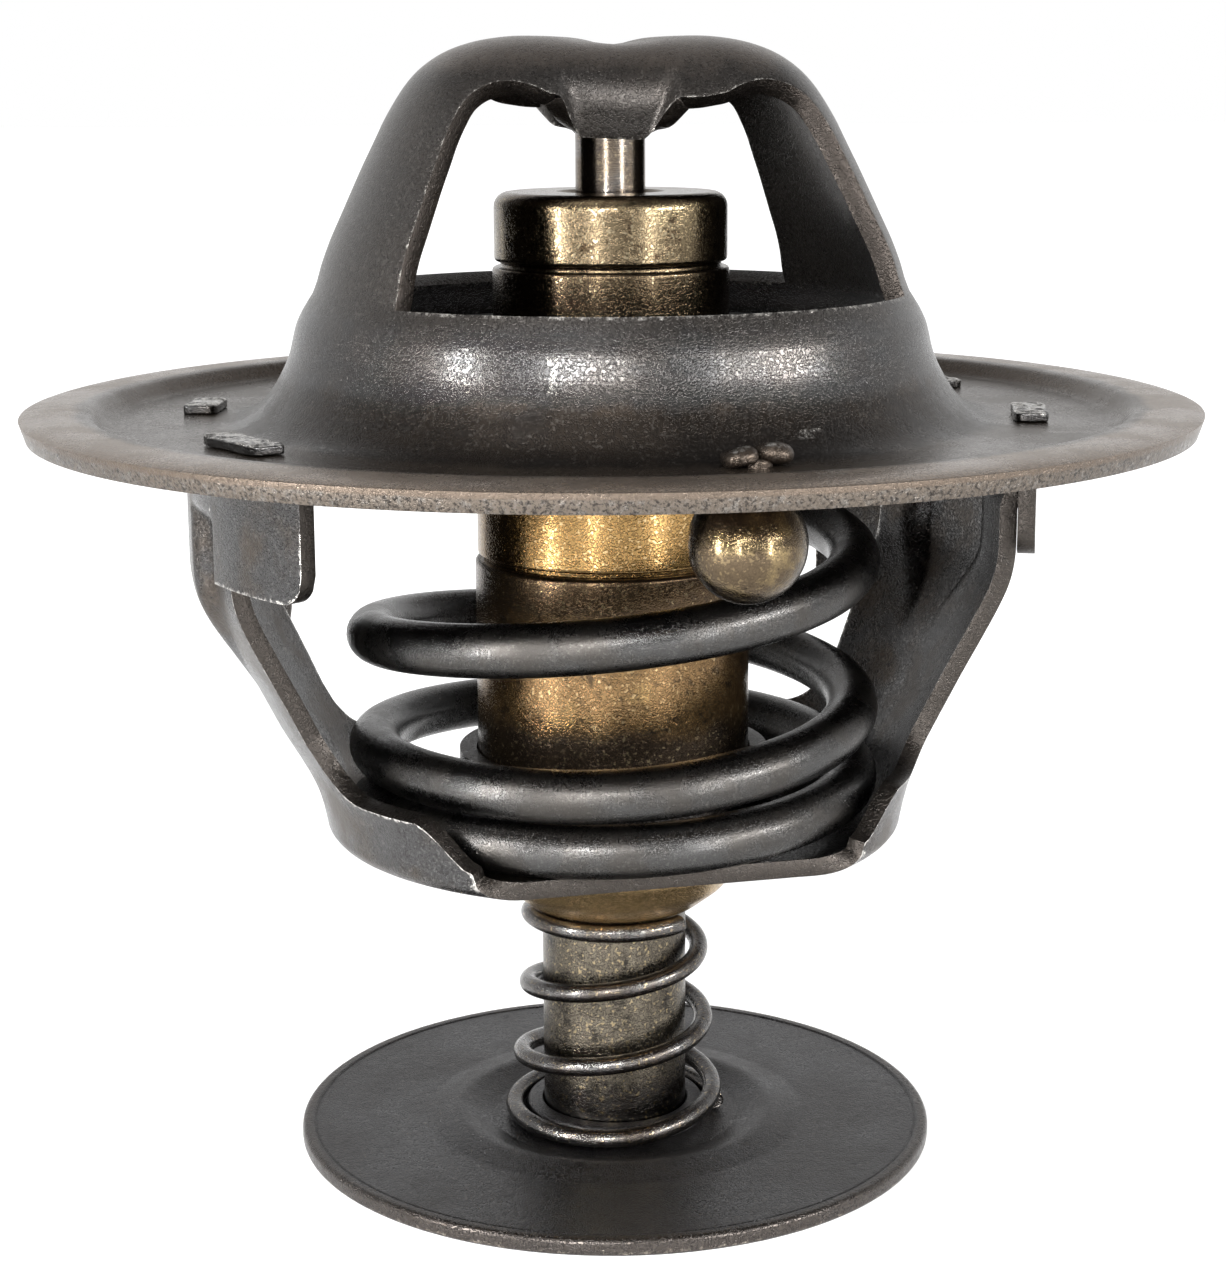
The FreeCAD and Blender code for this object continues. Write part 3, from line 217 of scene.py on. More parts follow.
def grid(points: Array, around: bool = False, along: bool = False) -> Surface:
    """A surface from a grid of points, as quads.

    Args:
        points: Array of rows, columns and three coordinates.
        around: Whether the last column joins the first.
        along: Whether the last row joins the first.

    Returns:
        The surface, whose quads run from each point to its row's next, and back a row below.
    """
    rows, columns = points.shape[:2]
    row = np.arange(rows if along else rows - 1)[:, None]
    column = np.arange(columns if around else columns - 1)[None, :]
    next_row, next_column = (row + 1) % rows, (column + 1) % columns
    ends = ((row, column), (row, next_column), (next_row, next_column), (next_row, column))
    quads = np.stack([down * columns + aside for down, aside in ends], axis=-1)
    return Surface(points.reshape(-1, 3), [quads.reshape(-1, 4)])


def welded(surfaces: Sequence[Surface], tolerance: float = 0.002) -> Surface:
    """Joins surfaces and merges points that lie closer than a tolerance.

    Points are rounded to a lattice of that tolerance, and equal ones become one point. A quad
    that loses a corner becomes a triangle, and a face with fewer corners is dropped.

    Args:
        surfaces: The surfaces to join. Their marks must have the same names.
        tolerance: Lattice width in mm.

    Returns:
        One surface.
    """
    points = np.vstack([surface.points for surface in surfaces])
    shifts = np.cumsum([0] + [len(surface.points) for surface in surfaces[:-1]])
    keys = np.floor(points / tolerance + LATTICE_SHIFT).astype(np.int64)
    _, first, inverse = np.unique(keys, axis=0, return_index=True, return_inverse=True)
    inverse = inverse.reshape(-1)
    faces = []
    for surface, shift in zip(surfaces, shifts):
        for block in surface.faces:
            faces.extend(cleaned(inverse[block + shift]))
    marks = {
        name: np.concatenate([surface.marks[name] for surface in surfaces])[first]
        for name in surfaces[0].marks
    }
    return Surface(points[first], faces, marks)


def cleaned(block: Array) -> list[Array]:
    """Sorts faces into whole ones and quads that fell to triangles.

    Args:
        block: Vertex numbers, one row a face, with repeats where points merged.

    Returns:
        Arrays of sound faces.
    """
    repeats = block == np.roll(block, -1, axis=1)
    sound = [block[~repeats.any(axis=1)]]
    if block.shape[1] == 4:
        single = repeats.sum(axis=1) == 1
        for corner in range(4):
            chosen = block[single & repeats[:, corner]]
            sound.append(np.delete(chosen, corner, axis=1))
    return [faces for faces in sound if len(faces)]


def lathe(outline: Array, segments: int = 160) -> Surface:
    """Turns a closed outline of (radius, height) about the axis.

    A point at azimuth a is (radius cos a, radius sin a, height). Points on the axis are welded
    to a pole. The outline runs anticlockwise in the plane of radius and height.

    Args:
        outline: Points of the outline in mm.
        segments: Steps of one turn.

    Returns:
        A closed surface with its faces outwards.
    """
    turn = np.linspace(0, 2 * math.pi, segments, endpoint=False)[None, :]
    radius, height = outline[:, 0][:, None], outline[:, 1][:, None]
    return welded([grid(around_axis(radius, turn, height), around=True, along=True)])


def superblock(halves: Sequence[float], power: float = 0.35, steps: int = 24) -> Surface:
    """A box with soft edges: a superellipsoid about the origin.

    With latitude u and longitude v, the point is the half sizes times
    (c(u) c(v), c(u) s(v), s(u)), where c and s are cosine and sine with their size raised to
    power, so that a small power is nearly a box and 1 is an ellipsoid.

    Args:
        halves: Half sizes along X, Y and Z in mm.
        power: The exponent.
        steps: Rows from pole to pole.

    Returns:
        A closed surface with its faces outwards.
    """
    latitude = np.linspace(-math.pi / 2, math.pi / 2, steps)[:, None]
    longitude = np.linspace(-math.pi, math.pi, 2 * steps, endpoint=False)[None, :]

    def shaped(wave: Array) -> Array:
        """A wave with its size raised to the power."""
        return np.sign(wave) * np.abs(wave) ** power

    ring = shaped(np.cos(latitude))
    ring[[0, -1]] = 0.0
    points = np.stack(
        [
            halves[0] * ring * shaped(np.cos(longitude)),
            halves[1] * ring * shaped(np.sin(longitude)),
            halves[2] * shaped(np.sin(latitude)) + 0 * longitude,
        ],
        axis=-1,
    )
    return welded([grid(points, around=True)])


def make_piece(name: str, surface: Surface, *finishes: bpy.types.Material) -> bpy.types.Object:
    """Puts a surface into the scene as a piece at the origin.

    Args:
        name: The piece's name.
        surface: Its shape in mm.
        finishes: Materials for its slots.

    Returns:
        The new object, smooth shaded.
    """
    mesh = bpy.data.meshes.new(name)
    loops = np.concatenate([block.ravel() for block in surface.faces])
    sizes = np.concatenate([np.full(len(block), block.shape[1]) for block in surface.faces])
    mesh.vertices.add(len(surface.points))
    mesh.vertices.foreach_set("co", (surface.points * MM).ravel())
    mesh.loops.add(len(loops))
    mesh.loops.foreach_set("vertex_index", loops.astype(np.int32))
    mesh.polygons.add(len(sizes))
    starts = np.concatenate([[0], np.cumsum(sizes)[:-1]])
    mesh.polygons.foreach_set("loop_start", starts.astype(np.int32))
    mesh.update(calc_edges=True)
    mesh.validate()
    for mark, values in surface.marks.items():
        layer = mesh.attributes.new(mark, "FLOAT", "POINT")
        layer.data.foreach_set("value", values.astype(np.float32))
    mesh.shade_smooth()
    for finish in finishes:
        mesh.materials.append(finish)
    piece = bpy.data.objects.new(name, mesh)
    bpy.context.collection.objects.link(piece)
    return piece


def thicken(piece: bpy.types.Object, sheet: float, edge: float) -> None:
    """Gives a surface its sheet thickness and soft cut edges.

    Args:
        piece: A piece whose surface is the sheet's outer side. Its second material goes on
            the cut edges.
        sheet: Thickness in mm, laid on the inner side.
        edge: Rounding of the cut edges in mm.
    """
    wall = piece.modifiers.new("sheet", "SOLIDIFY")
    wall.thickness = sheet * MM
    wall.offset = -1.0
    wall.use_even_offset = True
    wall.material_offset_rim = 1
    rounding = piece.modifiers.new("edge", "BEVEL")
    rounding.width = edge * MM
    rounding.segments = 2
    rounding.limit_method = "ANGLE"
    rounding.angle_limit = math.radians(50)


def place(piece: bpy.types.Object, body: str, slot: str, *nodes: str) -> None:
    """Attaches a piece to its body and hides the CAD nodes it stands for, then logs it.

    Args:
        piece: The piece.
        body: The CAD body that carries it.
        slot: Not used.
        nodes: CAD nodes that it replaces.
    """
    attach(piece, body)
    if nodes:
        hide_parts(*nodes)
    log.info("piece %s on %s, %d faces", piece.name, body, len(piece.data.polygons))


# Shader building


@dataclass
class Graph:
    """A node tree that is written one node at a time.

    Attributes:
        tree: The node tree being built.
    """

    tree: bpy.types.NodeTree

    def node(self, kind: str, inputs: dict | None = None, **settings: object) -> bpy.types.Node:
        """Adds a node, sets its properties and fills or links its inputs.

        Args:
            kind: The node's type name.
            inputs: Input name or number to a value or to another node's output.
            settings: Properties of the node.

        Returns:
            The new node.
        """
        added = self.tree.nodes.new(kind)
        for name, value in settings.items():
            setattr(added, name, value)
        for key, value in (inputs or {}).items():
            self.feed(added.inputs[key], value)
        return added

    def feed(self, socket: bpy.types.NodeSocket, value: object) -> None:
        """Links an output to a socket, or sets the socket's own value.

        Args:
            socket: The input.
            value: An output socket, a number, a colour or a vector.
        """
        if isinstance(value, bpy.types.NodeSocket):
            self.tree.links.new(value, socket)
        elif isinstance(value, tuple) and socket.type == "RGBA":
            socket.default_value = (*value[:3], 1.0)
        else:
            socket.default_value = value

    def group(self, tree: bpy.types.NodeTree, inputs: dict) -> bpy.types.NodeOutputs:
        """The outputs of a node group with these inputs."""
        return self.node("ShaderNodeGroup", inputs, node_tree=tree).outputs

    def bump(self, height: object, relief: float) -> bpy.types.NodeSocket:
        """The normal of a relief that is this many metres high."""
        return self.node("ShaderNodeBump", {"Height": height, "Distance": relief}).outputs[0]

    def math(self, operation: str, first: object, second: object = 0.0) -> bpy.types.NodeSocket:
        """The result of a Math node on two values."""
        return self.node("ShaderNodeMath", {0: first, 1: second}, operation=operation).outputs[0]

    def plus(self, first: object, second: object) -> bpy.types.NodeSocket:
        """The sum of two values."""
        return self.math("ADD", first, second)

    def minus(self, first: object, second: object) -> bpy.types.NodeSocket:
        """The first value less the second."""
        return self.math("SUBTRACT", first, second)

    def times(self, first: object, second: object) -> bpy.types.NodeSocket:
        """The product of two values."""
        return self.math("MULTIPLY", first, second)

    def step(self, value: object, low: float, high: float) -> bpy.types.NodeSocket:
        """A smooth 0 to 1 rise of a value between low and high."""
        inputs = {0: value, 1: low, 2: high}
        return self.node("ShaderNodeMapRange", inputs, interpolation_type="SMOOTHSTEP").outputs[0]

    def mix(self, share: object, first: object, second: object) -> bpy.types.NodeSocket:
        """The blend of two colours by a share."""
        inputs = {0: share, 6: first, 7: second}
        return self.node("ShaderNodeMix", inputs, data_type="RGBA").outputs[2]

    def blend(self, share: object, first: object, second: object) -> bpy.types.NodeSocket:
        """The blend of two numbers by a share."""
        inputs = {0: share, 2: first, 3: second}
        return self.node("ShaderNodeMix", inputs, data_type="FLOAT").outputs[0]

    def noise(
        self, vector: object, scale: object, detail: float = 4.0, rough: object = 0.55
    ) -> bpy.types.NodeSocket:
        """The value of a Noise texture."""
        inputs = {"Vector": vector, "Scale": scale, "Detail": detail, "Roughness": rough}
        return self.node("ShaderNodeTexNoise", inputs).outputs[0]

    def axes(self, vector: object) -> tuple[bpy.types.NodeSocket, ...]:
        """The three parts of a vector."""
        return tuple(self.node("ShaderNodeSeparateXYZ", {0: vector}).outputs)

    def distance(self, vector: object) -> bpy.types.NodeSocket:
        """The distance of a place from the Z axis."""
        x, y, _ = self.axes(vector)
        return self.math("SQRT", self.plus(self.times(x, x), self.times(y, y)))


def new_material(
    name: str,
) -> tuple[bpy.types.Material, Graph, bpy.types.NodeInputs, bpy.types.NodeSocket]:
    """Starts a material.

    Args:
        name: The material's name.

    Returns:
        The material, a graph on it, the inputs of its Principled BSDF and object coordinates.
    """
    material = bpy.data.materials.new(name)
    material.use_nodes = True
    graph = Graph(material.node_tree)
    place_of = graph.node("ShaderNodeTexCoord").outputs["Object"]
    return material, graph, material.node_tree.nodes["Principled BSDF"].inputs, place_of


def new_group(
    name: str, inputs: dict[str, float | Colour | None], outputs: dict[str, str]
) -> tuple[bpy.types.NodeTree, Graph, bpy.types.NodeOutputs, bpy.types.NodeInputs]:
    """Makes an empty node group with named sockets.

    Args:
        name: The group's name.
        inputs: Its inputs' default values: a number, a colour, or None for a vector.
        outputs: Its outputs' socket types.

    Returns:
        The group, a graph on it, its input sockets and its output sockets.
    """
    tree = bpy.data.node_groups.new(name, "ShaderNodeTree")
    for port, value in inputs.items():
        kind = "Vector" if value is None else "Color" if isinstance(value, tuple) else "Float"
        socket = tree.interface.new_socket(
            name=port, in_out="INPUT", socket_type=f"NodeSocket{kind}"
        )
        if value is not None:
            socket.default_value = (*value, 1.0) if kind == "Color" else value
    for port, kind in outputs.items():
        tree.interface.new_socket(name=port, in_out="OUTPUT", socket_type=f"NodeSocket{kind}")
    graph = Graph(tree)
    entry = graph.node("NodeGroupInput")
    leave = graph.node("NodeGroupOutput")
    return tree, graph, entry.outputs, leave.inputs


CLOUD_TOP, STAIN_TOP = 0.86, 0.92  # noise values above which a share of 0 still shows
CLOUD_EDGE = (-0.12, 0.14)  # noise values about that limit between which a cloud fades in
STAIN_EDGE = (-0.07, 0.08)  # the same for a stain
COARSE_SCALE = 0.31  # scale of the coarse grain for one of the fine grain
PLATEAU_WEIGHT = 0.45  # share of the fine grain in the relief's height
CREVICE_WIDTH = 0.09  # noise value off the middle where a crevice ends
SPECKLE_EDGE = (0.60, 0.72)  # noise values between which a bright point shows
RING_BREAK = 0.02  # how fast the turning marks change along X
TONE_SCALE = 0.16  # scale of their tone for one of their height
WEAR_EDGE = (0.78, 1.0)  # noise plus nearness between which bright wear shows
RING_TONES = (0.42, 0.74)  # noise values between which the turning marks darken
RING_SHARE = 0.6  # how much of the patch colour they bring
RELIEF_ROUGHNESS = 0.12  # how much rougher the highest grain is than the lowest
BORDER_SCALE = 420.0  # waves per metre along a tint's border
BORDER_REACH = 1.6  # how far they push it, in widths of its blend
SCUFF_WAVES = 1400.0  # waves per metre along a scuff's outline
SCUFF_BREAKS = 4200.0  # breaks per metre inside it
SCUFF_EDGE = (0.38, 0.60)  # noise values between which its inside shows
SCUFF_SHARE = 0.55  # how much of the bright colour a scuff shows
FRONT = (-0.010, -0.012)  # places along Y between which a scuff appears


def mottling_group() -> bpy.types.NodeTree:
    """Aged metal: a ground colour, cloudy patches of a second and small stains of a third.

    Returns:
        The group, with outputs Colour and Patches.
    """
    tree, graph, entry, leave = new_group(
        "aged_mottling",
        {
            "Vector": None,
            "Cloud Scale": 180.0,
            "Stain Scale": 700.0,
            "Cloud Share": 0.5,
            "Stain Share": 0.3,
            "Ground": (0.1, 0.1, 0.1),
            "Cloud": (0.12, 0.09, 0.06),
            "Stain": (0.03, 0.025, 0.02),
        },
        {"Colour": "Color", "Patches": "Float"},
    )
    clouds = graph.noise(entry["Vector"], entry["Cloud Scale"], 6.0, 0.62)
    cloud_low = graph.minus(CLOUD_TOP, entry["Cloud Share"])
    cloudy = graph.step(graph.minus(clouds, cloud_low), *CLOUD_EDGE)
    stains = graph.noise(entry["Vector"], entry["Stain Scale"], 5.0, 0.7)
    stain_low = graph.minus(STAIN_TOP, entry["Stain Share"])
    stained = graph.step(graph.minus(stains, stain_low), *STAIN_EDGE)
    aged = graph.mix(cloudy, entry["Ground"], entry["Cloud"])
    graph.feed(leave["Colour"], graph.mix(stained, aged, entry["Stain"]))
    graph.feed(leave["Patches"], cloudy)
    return tree


def grain_group() -> bpy.types.NodeTree:
    """Fine grain of drawn or blasted metal: curly crevices where a noise crosses its middle.

    Returns:
        The group, with outputs Height, from 0 to 1, Speckle, a mask of small bright points, and
        Crevice, a mask of the dark lines between the grains.
    """
    tree, graph, entry, leave = new_group(
        "metal_grain",
        {"Vector": None, "Scale": 5000.0, "Rough": 0.6},
        {"Height": "Float", "Speckle": "Float", "Crevice": "Float"},
    )
    fine = graph.noise(entry["Vector"], entry["Scale"], 1.0, entry["Rough"])
    coarse = graph.noise(entry["Vector"], graph.times(entry["Scale"], COARSE_SCALE), 2.0)
    off_middle = graph.math("ABSOLUTE", graph.minus(fine, 0.5))
    plateau = graph.step(off_middle, 0.0, CREVICE_WIDTH)
    graph.feed(leave["Height"], graph.blend(PLATEAU_WEIGHT, coarse, plateau))
    graph.feed(leave["Crevice"], graph.minus(1.0, plateau))
    graph.feed(leave["Speckle"], graph.step(fine, *SPECKLE_EDGE))
    return tree


def rings_group() -> bpy.types.NodeTree:
    """Turning and drawing marks: rings about Z, unevenly spaced and slightly broken.

    The noise is read at (distance from the axis, height, a fiftieth of X), so that it draws rings
    on walls and on flat faces alike.

    Returns:
        The group, with outputs Height and Tone, both about 0.5 on average.
    """
    tree, graph, entry, leave = new_group(
        "turning_marks",
        {"Vector": None, "Scale": 9000.0},
        {"Height": "Float", "Tone": "Float"},
    )
    x, _, z = graph.axes(entry["Vector"])
    parts = {0: graph.distance(entry["Vector"]), 1: z, 2: graph.times(x, RING_BREAK)}
    flattened = graph.node("ShaderNodeCombineXYZ", parts).outputs[0]
    graph.feed(leave["Height"], graph.noise(flattened, entry["Scale"], 3.0, 0.7))
    tone_scale = graph.times(entry["Scale"], TONE_SCALE)
    graph.feed(leave["Tone"], graph.noise(flattened, tone_scale, 3.0, 0.6))
    return tree


def wear_group() -> bpy.types.NodeTree:
    """Bright wear near an edge, broken up by noise.

    Returns:
        The group, with output Mask.
    """
    tree, graph, entry, leave = new_group(
        "edge_wear",
        {"Vector": None, "Edge": 0.0, "Scale": 2600.0, "Reach": 0.5},
        {"Mask": "Float"},
    )
    broken = graph.noise(entry["Vector"], entry["Scale"], 5.0, 0.7)
    nearness = graph.times(entry["Edge"], entry["Reach"])
    graph.feed(leave["Mask"], graph.step(graph.plus(broken, nearness), *WEAR_EDGE))
    return tree


@dataclass
class Effects:
    """The shared node groups, built once."""

    mottling: bpy.types.NodeTree = field(default_factory=mottling_group)
    grain: bpy.types.NodeTree = field(default_factory=grain_group)
    rings: bpy.types.NodeTree = field(default_factory=rings_group)
    wear: bpy.types.NodeTree = field(default_factory=wear_group)


class Pattern(Enum):
    """How a metal's fine relief runs; the value is the share of rings in it."""

    GRAIN = 0.0
    DRAWN = 0.25
    RINGS = 0.65


@dataclass(frozen=True)
class Tint:
    """A colour change over part of a metal.

    Attributes:
        colour: The colour in linear light.
        low: Where it starts, in metres along the measured way.
        high: Where it is full.
        share: How much of it shows.
        radial: Whether it is measured as distance from the axis, otherwise as height.
        rough: The roughness there, or None to leave it.
    """

    colour: Colour
    low: float
    high: float
    share: float
    radial: bool = False
    rough: float | None = None


@dataclass(frozen=True)
class Scuff:
    """A bright rubbed place on the viewer's side of a piece. All sizes in metres.

    Attributes:
        across: Its middle along X.
        height: Its middle along Z.
        half_width: Half its width.
        half_height: Half its height.
    """

    across: float
    height: float
    half_width: float
    half_height: float


@dataclass(frozen=True)
class MetalFinish:
    """A worn metal surface.

    Attributes:
        name: The material's name.
        ground: Main colour in linear light.
        cloud: Colour of the cloudy patches.
        stain: Colour of the small stains.
        bright: Colour of the worn places.
        rough: Lowest and highest roughness.
        cloud_share: How much is cloudy.
        stain_share: How much is stained.
        cloud_scale: Patches per metre.
        stain_scale: Stains per metre.
        grain_scale: Grains per metre.
        relief: Height of the fine relief in metres.
        pattern: How that relief runs.
        wear: How far bright wear reaches from marked edges.
        speckle: How strongly small bright points show.
        crevice: How dark the lines between the grains are.
        metallic: The metal share; patina takes from it.
        tints: Colour changes over parts of the piece.
        scuffs: Rubbed places.
    """

    name: str
    ground: Colour
    cloud: Colour
    stain: Colour
    bright: Colour = (0.42, 0.40, 0.37)
    rough: tuple[float, float] = (0.34, 0.50)
    cloud_share: float = 0.36
    stain_share: float = 0.28
    cloud_scale: float = 190.0
    stain_scale: float = 900.0
    grain_scale: float = 4600.0
    relief: float = 0.00003
    pattern: Pattern = Pattern.GRAIN
    wear: float = 0.0
    speckle: float = 0.10
    crevice: float = 0.55
    metallic: float = 1.0
    tints: tuple[Tint, ...] = ()
    scuffs: tuple[Scuff, ...] = ()

    def build(self, effects: Effects) -> bpy.types.Material:
        """Makes the material.

        Args:
            effects: The shared node groups.

        Returns:
            A material whose colour, roughness and relief come from its nodes.
        """
        material, graph, shader, place_of = new_material(self.name)
        aged = graph.group(
            effects.mottling,
            {
                "Vector": place_of,
                "Cloud Scale": self.cloud_scale,
                "Stain Scale": self.stain_scale,
                "Cloud Share": self.cloud_share,
                "Stain Share": self.stain_share,
                "Ground": self.ground,
                "Cloud": self.cloud,
                "Stain": self.stain,
            },
        )
        grain = graph.group(effects.grain, {"Vector": place_of, "Scale": self.grain_scale})
        colour = aged["Colour"]
        rough = graph.blend(aged["Patches"], *self.rough)
        height = grain["Height"]
        if self.pattern is not Pattern.GRAIN:
            rings = graph.group(effects.rings, {"Vector": place_of})
            height = graph.blend(self.pattern.value, height, rings["Height"])
            tone = graph.times(graph.step(rings["Tone"], *RING_TONES), RING_SHARE)
            colour = graph.mix(tone, colour, self.cloud)
        for tint in self.tints:
            colour, rough = self.tinted(graph, place_of, tint, colour, rough)
        for scuff in self.scuffs:
            colour = self.scuffed(graph, place_of, scuff, colour)
        colour = graph.mix(graph.times(grain["Crevice"], self.crevice), colour, self.stain)
        colour = graph.mix(graph.times(grain["Speckle"], self.speckle), colour, self.bright)
        if self.wear > 0:
            near = graph.node("ShaderNodeAttribute", attribute_name="edge").outputs["Fac"]
            reach = {"Vector": place_of, "Edge": near, "Reach": self.wear}
            colour = graph.mix(graph.group(effects.wear, reach)["Mask"], colour, self.bright)
        rough = graph.plus(rough, graph.times(graph.minus(height, 0.5), RELIEF_ROUGHNESS))
        graph.feed(shader["Base Color"], colour)
        graph.feed(shader["Roughness"], rough)
        shader["Metallic"].default_value = self.metallic
        graph.feed(shader["Normal"], graph.bump(height, self.relief))
        return material

    def tinted(
        self,
        graph: Graph,
        place_of: bpy.types.NodeSocket,
        tint: Tint,
        colour: bpy.types.NodeSocket,
        rough: bpy.types.NodeSocket,
    ) -> tuple[bpy.types.NodeSocket, bpy.types.NodeSocket]:
        """Lays one tint over the colour and roughness, with a ragged border.

        Args:
            graph: The material's graph.
            place_of: Object coordinates.
            tint: The colour change.
            colour: The colour so far.
            rough: The roughness so far.

        Returns:
            The new colour and roughness.
        """
        way = graph.distance(place_of) if tint.radial else graph.axes(place_of)[2]
        ragged = graph.minus(graph.noise(place_of, BORDER_SCALE, 5.0, 0.65), 0.5)
        reach = BORDER_REACH * abs(tint.high - tint.low)
        way = graph.plus(way, graph.times(ragged, reach))
        low, high = sorted((tint.low, tint.high))
        mask = graph.step(way, low, high)
        if tint.high < tint.low:
            mask = graph.minus(1.0, mask)
        mask = graph.times(mask, tint.share)
        colour = graph.mix(mask, colour, tint.colour)
        if tint.rough is not None:
            rough = graph.blend(mask, rough, tint.rough)
        return colour, rough

    def scuffed(
        self,
        graph: Graph,
        place_of: bpy.types.NodeSocket,
        scuff: Scuff,
        colour: bpy.types.NodeSocket,
    ) -> bpy.types.NodeSocket:
        """Lays one rubbed place over the colour, with a wavy outline and a broken inside.

        Args:
            graph: The material's graph.
            place_of: Object coordinates.
            scuff: The rubbed place.
            colour: The colour so far.

        Returns:
            The new colour.
        """
        x, y, z = graph.axes(place_of)
        width, height = scuff.half_width, scuff.half_height
        wave = graph.minus(graph.noise(place_of, SCUFF_WAVES, 3.0), 0.5)
        aside = graph.plus(graph.minus(x, scuff.across), graph.times(wave, 4 * width))
        level = graph.minus(z, scuff.height)
        beyond_side = graph.step(graph.math("ABSOLUTE", aside), 0.5 * width, width)
        beyond_end = graph.step(graph.math("ABSOLUTE", level), 0.7 * height, height)
        inside = graph.minus(1.0, graph.math("MAXIMUM", beyond_side, beyond_end))
        broken = graph.step(graph.noise(place_of, SCUFF_BREAKS, 3.0), *SCUFF_EDGE)
        mask = graph.times(graph.times(inside, graph.step(y, *FRONT)), broken)
        return graph.mix(graph.times(mask, SCUFF_SHARE), colour, self.bright)


@dataclass(frozen=True)
class PlainFinish:
    """A dull surface that is no metal, such as rubber or wax.

    Attributes:
        name: The material's name.
        ground: Main colour in linear light.
        cloud: Colour of its patches.
        rough: Its roughness.
        patch_scale: Patches per metre.
        relief: Height of its grain in metres.
    """

    name: str
    ground: Colour
    cloud: Colour
    rough: float = 0.6
    patch_scale: float = 500.0
    relief: float = 0.00004

    def build(self, effects: Effects) -> bpy.types.Material:
        """Makes the material.

        Args:
            effects: The shared node groups.

        Returns:
            A material with mottled colour and a fine grain.
        """
        material, graph, shader, place_of = new_material(self.name)
        patches = graph.step(graph.noise(place_of, self.patch_scale), 0.4, 0.6)
        graph.feed(shader["Base Color"], graph.mix(patches, self.ground, self.cloud))
        shader["Roughness"].default_value = self.rough
        grain = graph.group(effects.grain, {"Vector": place_of})
        graph.feed(shader["Normal"], graph.bump(grain["Height"], self.relief))
        return material


